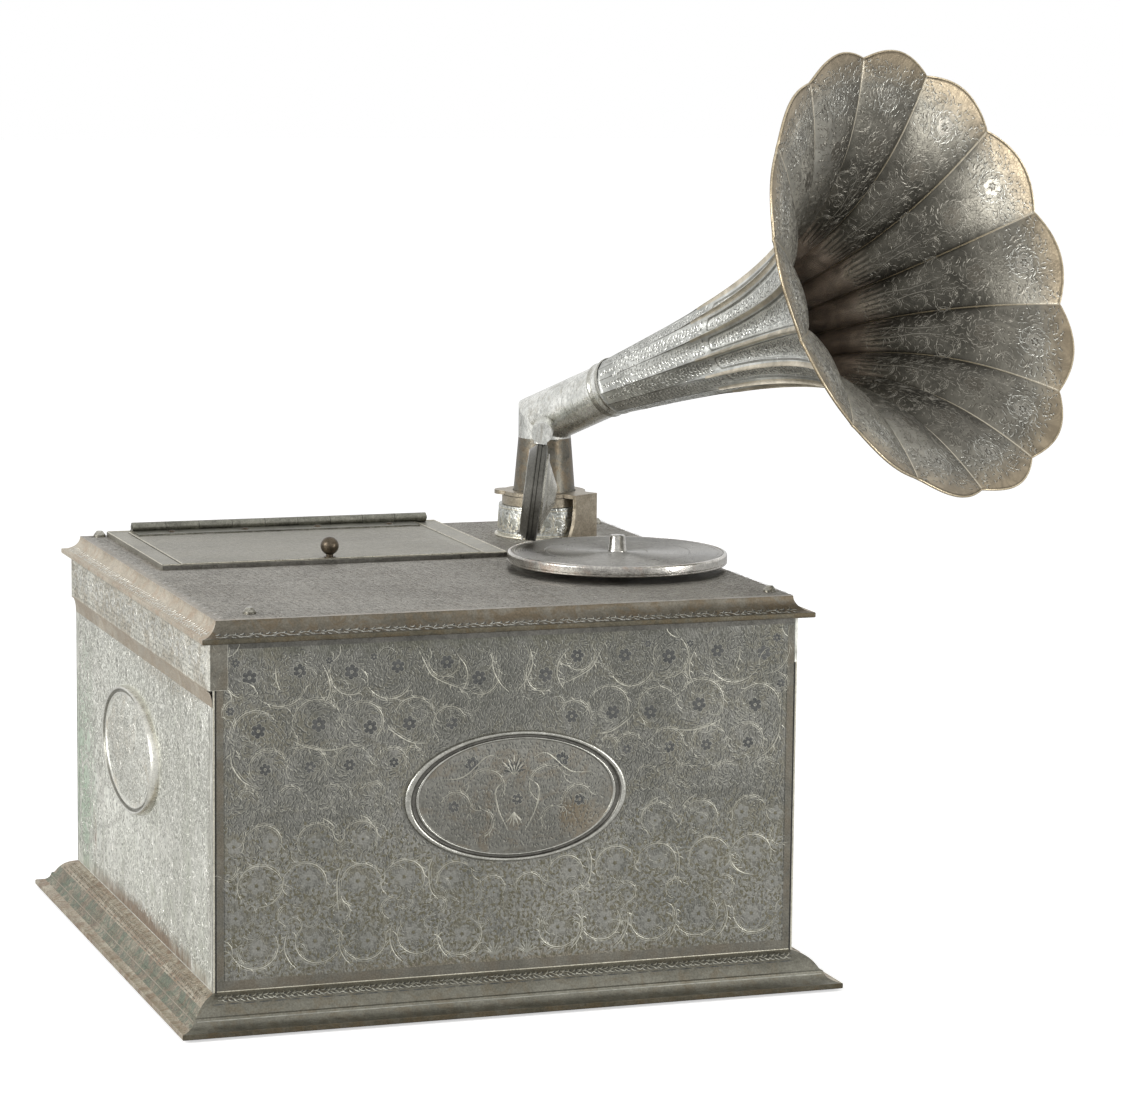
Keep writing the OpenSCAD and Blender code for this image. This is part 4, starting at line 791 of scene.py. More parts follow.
front_place = flat((0, -half_d, 0), (1, 0, 0), (0, 0, 1), (0, -1, 0))
back_place = flat((0, half_d, 0), (-1, 0, 0), (0, 0, 1), (0, 1, 0))
left_place = flat((-half_w, 0, 0), (0, -1, 0), (0, 0, 1), (-1, 0, 0))
right_place = flat((half_w, 0, 0), (0, 1, 0), (0, 0, 1), (1, 0, 0))
FRONT, LEFT = half_w / MM, half_d / MM
engrave("front", front_place, FRONT, OVAL_X, OVAL, line_metal, soft_line, dark_cut, petal_cut, pale_inlay,
        olive_cut)
engrave("back", back_place, FRONT, 0, None, line_metal, soft_line, dark_cut, petal_cut, pale_inlay, olive_cut)
engrave("left", left_place, LEFT, -OVAL_Y, OVAL, side_line, side_line, side_cut, side_cut, side_metal,
        side_cut)
engrave("right", right_place, LEFT, OVAL_Y, OVAL, side_line, side_line, side_cut, side_cut, side_metal,
        side_cut)

# %% [markdown]
# ## Plain margins
# The sheet is plain at its edges. A dark slit of painted shadow near each corner shows where the
# front sheet is folded over the side one, and thin lines frame the engraving. On the front and
# the back, the top margin under the cornice is painted shade.

# %% Edge lines
def flat_strip(name, place, u0, v0, u1, v1, material, lift=0.07):
    """A thin plain strip laid on a face, between two corners in mm."""
    u, v = np.meshgrid(np.linspace(u0, u1, 9), np.linspace(v0, v1, 3))
    points = np.column_stack([u.ravel(), v.ravel(),
                              np.where((v.ravel() > v0) & (v.ravel() < v1), lift * 1.5, lift)])
    return add_piece(name, place(points), grid_faces(3, 9), material, "case")


def frame_lines(face, place, half_width, low, high, plain, edge):
    slit, bright = Pen(), Pen()
    inner, outer = half_width - 6, half_width - 2.2
    for side in (-1, 1):
        for pen, inset, width, lift in ((slit, 1.5, 1.0, 0.05), (slit, 6.4, 0.25, 0.05),
                                        (bright, 0.5, 0.8, 0.25)):
            u = side * (half_width - inset)
            pen.stroke([(u, low), (u, (low + high) / 2), (u, high)], width, lift, swell=0)
        near, far = sorted((side * inner, side * outer))
        flat_strip(f"{face}_margin_{'left' if side < 0 else 'right'}", place, near, low, far, HEAD_LINE - 1,
                   plain)
    bright.stroke([(-half_width + 2, low + 0.5), (0, low + 0.5), (half_width - 2, low + 0.5)], 0.9, 0.3,
                  swell=0)
    flat_strip(face + "_foot_margin", place, -outer, low, outer, FOOT_LINE, plain)
    # On the front and the back the band under the cornice is painted shade.
    head = painted_shade_metal if plain is plain_sheet else plain
    flat_strip(face + "_head_margin", place, -outer, HEAD_LINE, outer, HEAD_LINE + 4, head)
    slit.make(face + "_slits", place, shadow_gap, "case", "engraved_silver")
    bright.make(face + "_edge_lines", place, edge, "case", "engraved_silver")


BASE_TOP, SLIT_TOP = 21.1, 193
for face, place, half, plain, edge in (("front", front_place, FRONT, plain_sheet, edge_metal),
                                       ("back", back_place, FRONT, plain_sheet, edge_metal),
                                       ("left", left_place, LEFT, side_metal, side_line),
                                       ("right", right_place, LEFT, side_metal, side_line)):
    frame_lines(face, place, half, BASE_TOP, SLIT_TOP, plain, edge)

# %% [markdown]
# ## Oval bosses
# Each boss is a pressed oval with a rounded bead at its edge, a channel, a thin inner bead and a
# slightly domed field. A height that depends only on how far out a point lies gives the whole
# form, and the same height carries the engraving on the field.

# %% The form of an oval
OVAL_SHARES = np.concatenate([np.linspace(0, 0.86, 22), np.linspace(0.866, 1, 36)])
OVAL_STEPS = 120


def oval_height(share):
    """Height in mm over the sheet, for a share 0 at the middle to 1 at the rim."""
    rim = 2.2 * np.sqrt(np.clip(1 - ((share - 0.965) / 0.035) ** 2, 0, 1))
    inner = 0.9 * np.sqrt(np.clip(1 - ((share - 0.885) / 0.016) ** 2, 0, 1))
    field = 0.5 + 1.5 * (1 - np.clip(share / 0.87, 0, 1) ** 2)
    return np.maximum(rim, np.where(share < 0.9, field, 0.3) + inner)


def oval_place(place, at, raised):
    def put(points):
        share = np.clip(np.hypot(points[:, 0] / OVAL[0], points[:, 1] / OVAL[1]), 0, 1)
        height = oval_height(share) + raised * np.sqrt(np.clip((1 - share) / 0.03, 0, 1))
        return place(np.column_stack([points[:, 0] + at, points[:, 1] + OVAL_Z, height + points[:, 2]]))
    return put

# %% Press an oval
def press_oval(place, at, raised=0.0):
    angle = np.linspace(0, 2 * np.pi, OVAL_STEPS, endpoint=False)
    grid = OVAL_SHARES[:, None] * np.ones(OVAL_STEPS)
    grid[0] = 0.004    # a very small ring at the middle
    points = np.stack([grid * OVAL[0] * np.cos(angle), grid * OVAL[1] * np.sin(angle), 0 * grid],
                      -1).reshape(-1, 3)
    rim = points[-OVAL_STEPS:].copy()
    rim[:, 2] = -oval_height(np.ones(OVAL_STEPS))
    laid = oval_place(place, at, raised)(np.concatenate([points, rim]))
    return laid, grid_faces(len(OVAL_SHARES) + 1, OVAL_STEPS, closed=True)


def finish_oval(piece, bead, channel):
    """Bright beads, partly polished and partly painted highlight, and a channel between them and the field
    that is painted shade with some patina, picked by how far out each face lies.
    """
    for material in (bead, channel):
        piece.data.materials.append(material)
    shares = (OVAL_SHARES[:-1] + OVAL_SHARES[1:]) / 2
    zone = np.where(shares > 0.945, 1, np.where(shares > 0.899, 2, np.where(shares > 0.872, 1, 0)))
    rings = np.repeat(np.append(zone, 1), OVAL_STEPS)
    piece.data.polygons.foreach_set("material_index",
                                    np.tile(rings, len(piece.data.polygons) // len(rings)).tolist())

# %% Engrave an oval
def engrave_oval(name, place, at, line, fine, cut, raised=0.0):
    light, thin, dark = Pen(), Pen(), Pen()
    palmette(dark, (-2, 14), 9, 1, 9)
    palmette(light, (-2, 12), 12, 1, 5)
    palmette(light, (-2, -9), 9, -1, 5)
    round_flower(dark, light, (0, -1.6), 3.6, 6)
    for side in (-1, 1):
        ring_stem(light, (side * 17, 5), 11, 90 - side * 60, side * 250, 1.0)
        ring_stem(light, (side * 38, -4), 9, 270 - side * 70, -side * 250, 0.9)
        ring_stem(light, (side * 22, -16), 8, 90, side * 200, 0.9)
        round_flower(dark, thin, (side * 27, 20), 4.4, 6)
        round_flower(dark, thin, (side * 38, -4), 3.6, 6)
        light.stroke(smooth_path([(side * 7, 10), (side * 13, 4), (side * 11, -8), (side * 5, -20)]), 0.9)
        light.stroke(smooth_path([(side * 10, 22), (side * 18, 24), (side * 32, 13), (side * 45, 12)]), 0.8)
    u, v = np.meshgrid(np.arange(-57, 57, 2.0), np.arange(-32, 32, 2.8))
    spots = np.column_stack([u.ravel(), v.ravel()]) + rng.uniform(-0.9, 0.9, (u.size, 2))
    spots = spots[np.hypot(spots[:, 0] / OVAL[0], spots[:, 1] / OVAL[1]) < 0.83]
    upright = math.pi / 2 + rng.uniform(-0.8, 0.8, len(spots))
    thin.dashes(spots, upright, 2.6, 0.42, rng.uniform(-1.6, 1.6, len(spots)))
    dark.dashes(spots + 0.7, upright, 2.2, 0.45, rng.uniform(-1.6, 1.6, len(spots)))
    for pen, material, tone in ((light, line, "light"), (thin, fine, "fine"), (dark, cut, "dark")):
        pen.make(f"{name}_{tone}_engraving", oval_place(place, at, raised), material, "case",
                 "engraved_silver")

# %% Add the three ovals
oval_metal = aged_metal("oval_metal", srgb(112, 111, 104), srgb(136, 135, 128), rough=(0.34, 0.5),
                        warm=srgb(124, 116, 102), warm_share=0.38, cloud=24,
                        marks=((srgb(112, 98, 76), (38, -178, 112), (12, 20, 12), 0.5),
                                (srgb(150, 138, 118), (46, -178, 106), (16, 20, 14), 0.4)))
side_oval_metal = aged_metal("side_oval_metal", srgb(200, 200, 191), srgb(228, 228, 220), rough=(0.36, 0.52),
                             warm=srgb(196, 188, 172), warm_share=0.36)
# The side bosses' channel is painted shade with some patina, and their beads are partly painted highlight.
side_painted_shade = aged_metal("side_painted_shade", srgb(112, 111, 102), srgb(146, 145, 136), rough=(0.3, 0.44),
                          cloud=30)
side_bead = aged_metal("side_bead", srgb(176, 175, 166), srgb(222, 221, 212), rough=(0.24, 0.38), cloud=30)
points, faces = press_oval(front_place, OVAL_X)
front_oval = add_piece("front_oval", points, faces, oval_metal, "case")
finish_oval(front_oval, bead_metal, painted_shade_metal)
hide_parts("front_medallion")
SIDE_RAISED = 2.8    # mm that the side bosses stand out further than the front one
left_points, left_faces = press_oval(left_place, -OVAL_Y, SIDE_RAISED)
right_points, right_faces = press_oval(right_place, OVAL_Y, SIDE_RAISED)
side_ovals = add_piece("side_ovals", np.concatenate([left_points, right_points]),
                       np.concatenate([left_faces, right_faces + len(left_points)]),
                       side_oval_metal, "case")
finish_oval(side_ovals, side_bead, side_painted_shade)
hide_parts("side_medallions")
engrave_oval("front_oval", front_place, OVAL_X, line_metal, soft_line, petal_cut)
engrave_oval("left_oval", left_place, -OVAL_Y, side_line, side_line, side_cut, SIDE_RAISED)
engrave_oval("right_oval", right_place, OVAL_Y, side_line, side_line, side_cut, SIDE_RAISED)

# %% [markdown]
# ## Mitred mouldings
# The base and the cornice are strips of sheet bent to one section and mitred at the corners.
# The section is a list of points: how far it stands out, and how high. Each side of the case
# gets its own strip between its two corners, so the mitre stays crisp and the curves smooth.

# %% The two sections
def base_section():
    """The base's section: a plinth, a hollow, a ledge and an ovolo, from the ground up."""
    last = math.radians(75)
    angles = [math.radians(7.5 * i) for i in range(1, 11)]
    hollow = [(23.3 - 8.3 * math.sin(a) / math.sin(last), 3.2 + 4 * (1 - math.cos(a)) / (1 - math.cos(last)))
              for a in angles]
    ovolo = [(13 * (1 - f) + 1.2 * math.sin(math.pi * f), 9.6 + 9.9 * f + 1.6 * math.sin(math.pi * f))
             for f in np.linspace(0, 1, 13)[1:]]
    return [(0, 0), (22.9, 0), (23.3, 0.4), (23.3, 2.8), (23.0, 3.2), *hollow, (14.4, 9.2), (13.8, 9.55),
            (13, 9.6), *ovolo]


def cornice_section():
    """The cornice's section: a flat edge over a cove that runs in to the sheet."""
    cove = [(-2.3 + 10.1 * (1 - math.cos(a)), 11.8 - 8.8 * math.sin(a))
            for a in np.radians(90 - 7.5 * np.arange(1, 13))]
    return [(0, 0), (7.4, 0), (7.8, 0.4), (7.8, 2.6), (7.6, 3), *cove, (-2.3, 10.3), (-6, 10.3), (-6, 4.3),
            (0, 4.3)]

# %% Bend the mouldings
CREASE = math.radians(32)    # a bend that is sharper than this stays an edge


def mouldings(name, section, foot, materials, pick, replaced):
    """Four mitred strips as one piece; pick(side, point) chooses a material by place in the section."""
    section = np.array(section, float)
    points, faces, chosen = [], [], []
    corners = [(-1, -1), (1, -1), (1, 1), (-1, 1)]
    for side in range(4):
        ends = []
        for cx, cy in (corners[side], corners[(side + 1) % 4]):
            ends.append(np.column_stack([cx * (FRONT + section[:, 0]), cy * (LEFT + section[:, 0]),
                                         foot + section[:, 1]]))
        count = len(section)
        points.append(np.concatenate(ends) * MM)
        for j in range(count):
            k = (j + 1) % count
            faces.append([2 * count * side + i for i in (j, k, count + k, count + j)])
            chosen.append(pick(side, (section[j] + section[k]) / 2))
    piece = add_piece(name, np.concatenate(points), faces, materials[0], "case")
    for material in materials[1:]:
        piece.data.materials.append(material)
    piece.data.polygons.foreach_set("material_index", chosen)
    piece.data.set_sharp_from_angle(angle=CREASE)
    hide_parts(replaced)
    return piece


def base_material(side, p):
    """The left and right rails take a lighter copy of their finish on the top and the plinth, as painted
    light, and the darker one in the hollow and on the ledges, as painted shade; the front and back ones have
    a dark plinth of painted shade.
    """
    if side in (1, 3):
        return 3 if p[1] > 14 or 1.5 < p[1] < 4.5 else 1
    return 2 if p[1] < 3.2 else 0


def cornice_material(side, p):
    if side in (1, 3):
        return 1
    # The front face of the lip on the front and the back is painted shade.
    return 2 if p[0] > 7 and p[1] > 0.2 else 0


BASE_FOOT, CORNICE_FOOT = 1.6, 220.1
mouldings("base_mouldings", base_section(), BASE_FOOT,
          [moulding_metal, base_side_metal, lip_painted_shade, base_side_painted_light], base_material, "base_rails")
mouldings("cornice_mouldings", cornice_section(), CORNICE_FOOT,
          [cornice_metal, cornice_side_metal, lip_painted_shade], cornice_material, "cornice_rails")

# %% [markdown]
# ## Leaves on the mouldings
# A place on a moulding is measured along the strip and up round its section. The section's
# points give where that is and which way is outward, so the pen can engrave a curved strip.

# %% Engrave the mouldings
def on_moulding(section, foot, side):
    """A place function: along the side in mm, length round the section in mm, height over it."""
    section = np.array(section, float)
    steps = np.diff(section, axis=0)
    length = np.concatenate([[0], np.cumsum(np.hypot(*steps.T))])
    normals = np.column_stack([steps[:, 1], -steps[:, 0]]) / (np.hypot(*steps.T)[:, None] + 1e-9)

    def put(points):
        at = np.clip(points[:, 1], 0, length[-1] - 1e-6)
        k = np.searchsorted(length, at, side="right") - 1
        out = np.interp(at, length, section[:, 0]) + normals[k, 0] * points[:, 2]
        high = foot + np.interp(at, length, section[:, 1]) + normals[k, 1] * points[:, 2]
        along = points[:, 0]
        x, y = ((along, -LEFT - out), (FRONT + out, along), (-along, LEFT + out),
                (-FRONT - out, -along))[side]
        return np.column_stack([x, y, high]) * MM
    return put, length


def leaf_band(name, section, foot, low, high, light, cut, side_light, side_shade, pitch=5.0):
    """A running vine of leaves between two lengths round the section, on all four sides."""
    band, mid = high - low, (low + high) / 2
    for side in range(4):
        half = (FRONT if side % 2 == 0 else LEFT) - 1
        put, length = on_moulding(section, foot, side)
        bright, dark = Pen(), Pen()
        along = np.arange(-half, half, 1.0)
        bright.stroke(np.column_stack([along, mid + band * 0.2 * np.sin(along * 2 * np.pi / (pitch * 2))]),
                      0.4, swell=0)
        u = np.arange(-half + 2, half - 2, pitch / 3)
        u = u + rng.uniform(-0.5, 0.5, len(u))
        up = np.where(np.arange(len(u)) % 2 == 0, 1, -1)
        bright.dashes(np.column_stack([u, mid + up * band * 0.24]), up * 0.7 + rng.uniform(-0.4, 0.4, len(u)),
                      band * 0.55, 0.75, 0.8, lift=0.25)
        dark.dashes(np.column_stack([u + 1.0, mid + up * band * 0.22]), up * 0.7, band * 0.42, 0.8, 0.8)
        starts = np.arange(-half, half, 9.0)
        dark.dashes(np.column_stack([starts, np.full(len(starts), low - 0.4)]), 0.0, 8.0, 0.8, 0.0, lift=0.04)
        line, shade = (light, cut) if side % 2 == 0 else (side_light, side_shade)
        bright.make(f"{name}_leaves_{side}", put, line, "case", "engraved_silver")
        dark.make(f"{name}_cuts_{side}", put, shade, "case", "engraved_silver")


base_length = on_moulding(base_section(), BASE_FOOT, 0)[1]
HOLLOW_END, OVOLO_START = 14, 17    # points of the base's section
ovolo_start = base_length[OVOLO_START]
print("base section is", round(base_length[-1], 1), "mm round, its ovolo starts at", round(ovolo_start, 1))
end = base_length[-1]
leaf_band("base", base_section(), BASE_FOOT, end - 9.5, end - 2.5, line_metal, petal_cut, strap_metal,
          olive_cut)
leaf_band("cornice", cornice_section(), CORNICE_FOOT, 11.6, 18.0, bead_metal, petal_cut, side_line,
          brown_strip, 7.0)
for side in range(4):
    half = (FRONT if side % 2 == 0 else LEFT) + 13
    step = Pen()
    level = base_length[HOLLOW_END] + 0.5
    step.stroke([(-half, level), (0, level), (half, level)], 0.7, 0.2, swell=0)
    line = soft_line if side % 2 == 0 else strap_metal
    put = on_moulding(base_section(), BASE_FOOT, side)[0]
    step.make(f"base_step_line_{side}", put, line, "case", "engraved_silver")

# %% [markdown]
# ## The skirt band
# A band of brighter sheet runs under the cornice on the left side and turns the front corner.
# It carries a running scroll, and a small cove under it steps back to the side sheet.

# %% Engrave the band and fit its cove
band_lo, band_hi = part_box("skirt_band")
band_out = (panel_lo.x - band_lo.x) / MM
band_wrap = (band_hi.x - band_lo.x) / MM
print("band stands", round(band_out, 1), "mm out and wraps", round(band_wrap, 1), "mm round the corner")
band_face = flat((band_lo.x, 0, 0), (0, -1, 0), (0, 0, 1), (-1, 0, 0))
band_light, band_dark = Pen(), Pen()
BAND_MIDDLE = 205.5
for k, u in enumerate(np.arange(-164, 172, 15.0)):
    hand = 1 if k % 2 else -1
    ring_stem(band_light, (u, BAND_MIDDLE + hand * 1.5), 7.5, 90 + hand * 100, -hand * 260, 1.6)
    round_flower(band_light, None, (u, BAND_MIDDLE + hand * 1.5), 3.4, 6)
    leaf(band_light, (u + 7, BAND_MIDDLE - hand * 4), -hand * 1.1, 8, 1.4, hand * 0.8)
u, v = np.meshgrid(np.arange(-174, 174, 2.6), np.arange(196, 218, 3.0))
spots = np.column_stack([u.ravel(), v.ravel()]) + rng.uniform(-0.7, 0.7, (u.size, 2))
band_dark.dashes(spots, rng.uniform(0, 3, len(spots)), 2.4, 0.8, 0.6)
band_light.make("skirt_light_engraving", band_face, side_line, "case", "engraved_silver")
band_dark.make("skirt_dark_engraving", band_face, soft_line, "case", "engraved_silver")

COVE_TOP, COVE_HIGH, COVE_END = 192.8, 8.6, 0.3    # its height and drop, and what is left of its depth below
cove = [(band_out, 193.6), (band_out, COVE_TOP)]
cove += [(COVE_END + (band_out - COVE_END) * (1 - math.sin(a)), COVE_TOP - COVE_HIGH * (1 - math.cos(a)))
         for a in np.linspace(0.1, math.pi / 2, 8)]
cove += [(COVE_END, 183.6), (0.05, 183.2)]
cove_points = [((-FRONT - out) * MM, y * MM, high * MM) for y in (-LEFT, 0, LEFT) for out, high in cove]
skirt_cove = add_piece("skirt_cove", cove_points, grid_faces(3, len(cove))[:, ::-1], brown_strip, "case")
skirt_cove.data.set_sharp_from_angle(angle=CREASE)
print("band front face is", round(-LEFT - band_lo.y / MM, 1), "mm in front of the case")
band_front = flat((0, band_lo.y, 0), (1, 0, 0), (0, 0, 1), (0, -1, 0))
flat_strip("skirt_corner_face", band_front, band_lo.x / MM + 0.9, 193.8, band_hi.x / MM - 0.2, 219.9,
           plain_sheet, 0.12)
corner_pen = Pen()
for k in range(7):
    angle, bend = (1.2, 0.8) if k % 2 else (1.9, -0.8)
    leaf(corner_pen, (band_lo.x / MM + 4.5, 195 + 3.4 * k), angle, 5, 0.6, bend)
corner_pen.make("skirt_corner_leaves", band_front, line_metal, "case", "engraved_silver")

# %% [markdown]
# ## Turned parts
# The turntable, the top of its spindle and the sound box were made on a lathe. `turn` does the
# same: it spins a half section round an axis. Sharp steps in the section stay sharp.

# %% The lathe
TURNED_CREASE = math.radians(34)


def turn(name, section, axis_place, material, body, slot, steps=96, second=None, second_where=None):
    """Spin points (radius, height) in mm round the z axis of the matrix axis_place (in mm)."""
    section = np.array(section, float)
    angle = np.linspace(0, 2 * np.pi, steps, endpoint=False)
    r, z = section[:, :1], section[:, 1:]
    points = np.stack([r * np.cos(angle), r * np.sin(angle), z + 0 * angle], -1).reshape(-1, 3)
    spin = np.array(axis_place)
    points = (points @ spin[:3, :3].T + spin[:3, 3]) * MM
    faces = grid_faces(len(section), steps, closed=True)
    piece = add_piece(name, points, faces, material, body)
    if second:
        piece.data.materials.append(second)
        middles = (section[:-1] + section[1:]) / 2
        piece.data.polygons.foreach_set("material_index",
                                        np.repeat([int(second_where(*m)) for m in middles], steps).tolist())
    piece.data.set_sharp_from_angle(angle=TURNED_CREASE)
    return piece

# %% Turn the turntable and its spindle's top
PLATTER_AT, PLATTER_TOP = (109.6, -48.2), 242.9
platter_place = Matrix.Translation((*PLATTER_AT, PLATTER_TOP))
DEEP_RINGS = (62, 44.6, 18)
grooves = []
for r in np.arange(63.4, 5, -1.45):
    deep = 0.42 if min(abs(r - ring) for ring in DEEP_RINGS) < 0.8 else 0.22
    grooves += [(r, 0), (r - 0.35, -deep), (r - 0.75, -deep), (r - 1.05, 0)]
shoulder = [(66.6 - 1.3 * (1 - math.cos(a)), -1.3 + 1.3 * math.sin(a))
            for a in np.linspace(0, math.pi / 2, 6)]
platter_section = [(3, -16.4), (7, -16.4), (7, -3), (63.6, -3), (63.6, -6.4), (66.1, -6.4), (66.6, -5.9),
                   (66.6, -5.0), (66.3, -4.8), (66.6, -4.6),
                   *shoulder, (64.6, 0), (64.4, -0.5), (63.8, -0.5), (63.6, 0), *grooves, (3, 0), (3, -16.4)]
platter = turn("lathed_turntable", platter_section, platter_place, platter_metal, "table", "plain_silver",
               144, rim_metal, lambda r, z: r > 64.1)
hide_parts("turntable")
print("turntable has", len(grooves) // 4, "grooves")

cap_section = [(5.8, 0), (5.8, 0.4), (5.5, 0.9), (4.64, 9.2), (4.2, 9.75), (0.02, 9.95)]
turn("spindle_taper", cap_section, platter_place, polished, "table", "turned_steel", 48)

# %% [markdown]
# ## The sound box
# The sound box hangs from the tone arm's end. Its axis lies across the arm, and the arm slopes
# and is turned with the post, so its place is a chain of turns: the same chain as in the CAD.

# %% Turn the sound box
def rotate(degrees, axis):
    return Matrix.Rotation(math.radians(degrees), 4, axis)


COLLAR_AT = (116.5, 108.8)
ARM_HEIGHT, ARM_TURN, ARM_SLOPE, ARM_REACH = 302.0, 340.1, -4.2, 121.7
BOX_TILT, BOX_DROP = 6.5, 36.4
arm_end = (Matrix.Translation((*COLLAR_AT, ARM_HEIGHT)) @ rotate(ARM_TURN, "Z") @ rotate(ARM_SLOPE, "X")
           @ Matrix.Translation((0, -ARM_REACH, 0)))
BOX_PLACE = arm_end @ rotate(BOX_TILT, "Y") @ Matrix.Translation((0, 0, -BOX_DROP)) @ rotate(90, "Y")
ring_section = [(22.5, -5.9), (22.8, -6.2), (24.6, -6.2), (24.9, -5.9), (25.5, -6.15), (25.9, -5.8),
                (29.2, -2.1), (29.7, -1.7), (29.7, -1.1),
                (29.3, -0.8), (29.7, -0.5), (29.7, 0), (27.2, 0), (27.2, -1.5), (22.5, -1.5), (22.5, -5.9)]
back_section = [(0.02, 1.5), (27.2, 1.5), (27.2, 0), (29.7, 0), (29.7, 1.2), (29.3, 1.5), (29.7, 1.8),
                (29.7, 3.9), (29.2, 4.5), (26, 4.8), (25.6, 5.0), (24.5, 5.0), (24.5, 6.2),
                (24.1, 6.5), (21, 6.7), (20, 6.8), (16, 8.6), (15.6, 8.9), (14.9, 9.1), (10, 11.2), (7, 12.6),
                (6.5, 12.8), (6.0, 13.3), (4.6, 13.4), (0.02, 13.4)]
box_ring = turn("lathed_sound_box_ring", ring_section, BOX_PLACE, box_metal, "sound_box", "plain_silver", 96,
                polished, lambda r, z: z < -5.8)
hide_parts("sound_box_ring")
box_back = turn("lathed_sound_box_back", back_section, BOX_PLACE, box_metal, "sound_box", "plain_silver", 96,
                box_bright, lambda r, z: z > 3 and r < 25)
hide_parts("sound_box_back")

# %% [markdown]
# ## The deck and the lid
# The deck is hatched all over with fine wavy cuts that run from left to right. It is left bare
# under the turntable and the turret, and round the turntable it carries painted shadow. The lid's
# frame and the lid have thin bright edges, worn and brightened further as painted highlight, and
# the frame's front face has painted shade.

# %% Hatch the deck
deck_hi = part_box("deck_plate")[1]
lid_lo, lid_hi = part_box("lid")
frame_lo, frame_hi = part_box("lid_frame")
on_deck = flat((0, 0, deck_hi.z), (1, 0, 0), (0, 1, 0), (0, 0, 1))
u, v = np.meshgrid(np.arange(-168, 170, 6.2), np.arange(-170, 171, 1.9))
spots = np.column_stack([(u + 3.1 * (np.round(v / 1.9) % 2)).ravel(), (v + 0.9 * np.sin(u * 0.11)).ravel()])
spots += rng.uniform(-0.6, 0.6, spots.shape) * (1, 0.5)
bare = np.hypot(spots[:, 0] - PLATTER_AT[0], spots[:, 1] - PLATTER_AT[1]) < 64
bare |= np.hypot(spots[:, 0] - COLLAR_AT[0], spots[:, 1] - COLLAR_AT[1]) < 34
across, back = spots.T
bare |= (across > frame_lo.x / MM - 4) & (across < frame_hi.x / MM + 4) & (back > frame_lo.y / MM - 2)
spots = spots[~bare]
hatch_light, hatch_dark = Pen(), Pen()
hatch_light.dashes(spots, rng.uniform(-0.12, 0.12, len(spots)), rng.uniform(5, 8, len(spots)), 0.75, 0.25)
hatch_dark.dashes(spots + (1.5, 0.95), rng.uniform(-0.12, 0.12, len(spots)), rng.uniform(4, 7, len(spots)),
                  0.7, -0.25)
for k in range(28):
    leaf(hatch_light, (-169, -166 + 12 * k), 0.7, 8, 1.6, -0.8)
    leaf(hatch_light, (-168, -160 + 12 * k), -0.6, 6, 1.2, 0.8)
deck_line = aged_metal("deck_line", srgb(164, 161, 154), srgb(194, 191, 184), rough=(0.35, 0.5))
deck_cut = aged_metal("deck_cut", srgb(102, 99, 93), srgb(124, 121, 114), rough=(0.45, 0.6))
hatch_light.make("deck_light_hatch", on_deck, deck_line, "case", "deck_silver")
hatch_dark.make("deck_dark_hatch", on_deck, deck_cut, "case", "deck_silver")
print("deck has", len(spots), "cuts, lid top at", round(lid_hi.z / MM, 1), "frame top at",
      round(frame_hi.z / MM, 1))

# %% Edge the lid and its frame
def edge_strip(name, lo, hi, body, width=0.9, lift=0.45, inset=0.5):
    """A thin rounded bright line just inside the top edge of a plate: a worn edge, brightened further as
    painted highlight.
    """
    pen = Pen()
    x0, x1, y0, y1 = lo.x / MM + inset, hi.x / MM - inset, lo.y / MM + inset, hi.y / MM - inset
    for a, b in (((x0, y0), (x1, y0)), ((x1, y0), (x1, y1)), ((x1, y1), (x0, y1)), ((x0, y1), (x0, y0))):
        pen.stroke(np.linspace(a, b, 4), width, lift, swell=0)
    pen.make(name, flat((0, 0, hi.z), (1, 0, 0), (0, 1, 0), (0, 0, 1)), edge_metal, body, "deck_silver")


edge_strip("frame_bright_edge", frame_lo, frame_hi, "case")
lid_edge_hi = lid_hi.copy()
lid_edge_hi.z = lid_lo.z + 0.003
print("lid is", [round(c / MM, 1) for c in lid_lo], [round(c / MM, 1) for c in lid_hi])
edge_strip("lid_bright_edge", lid_lo, lid_edge_hi, "lid")
frame_front = flat((0, frame_lo.y, 0), (1, 0, 0), (0, 0, 1), (0, -1, 0))
# The front face of the lid's frame gets a strip of painted shade.
flat_strip("frame_front_edge", frame_front, frame_lo.x / MM + 0.3, deck_hi.z / MM + 0.1,
           frame_hi.x / MM - 0.3, frame_hi.z / MM - 0.5, painted_shade_metal)
lid_pen = Pen()
u, v = np.meshgrid(np.arange(lid_lo.x / MM + 8, lid_hi.x / MM - 8, 9.0),
                   np.arange(lid_lo.y / MM + 6, lid_hi.y / MM - 14, 2.6))
spots = np.column_stack([(u + 4.5 * (np.round(v / 2.6) % 2)).ravel(), v.ravel()])
spots += rng.uniform(-0.8, 0.8, (u.size, 2))
lid_pen.dashes(spots, rng.uniform(-0.1, 0.1, len(spots)), rng.uniform(5, 9, len(spots)), 0.6, 0.2, lift=0.1)
lid_pen.make("lid_hatch", flat((0, 0, lid_edge_hi.z), (1, 0, 0), (0, 1, 0), (0, 0, 1)), deck_line, "lid",
             "deck_silver")

# %% [markdown]
# ## The turret's collar
# The collar is a tapered drum on the deck with a bright ring at its foot, engraved all round. A
# place function rolls the flat drawing up: the way across becomes an angle.

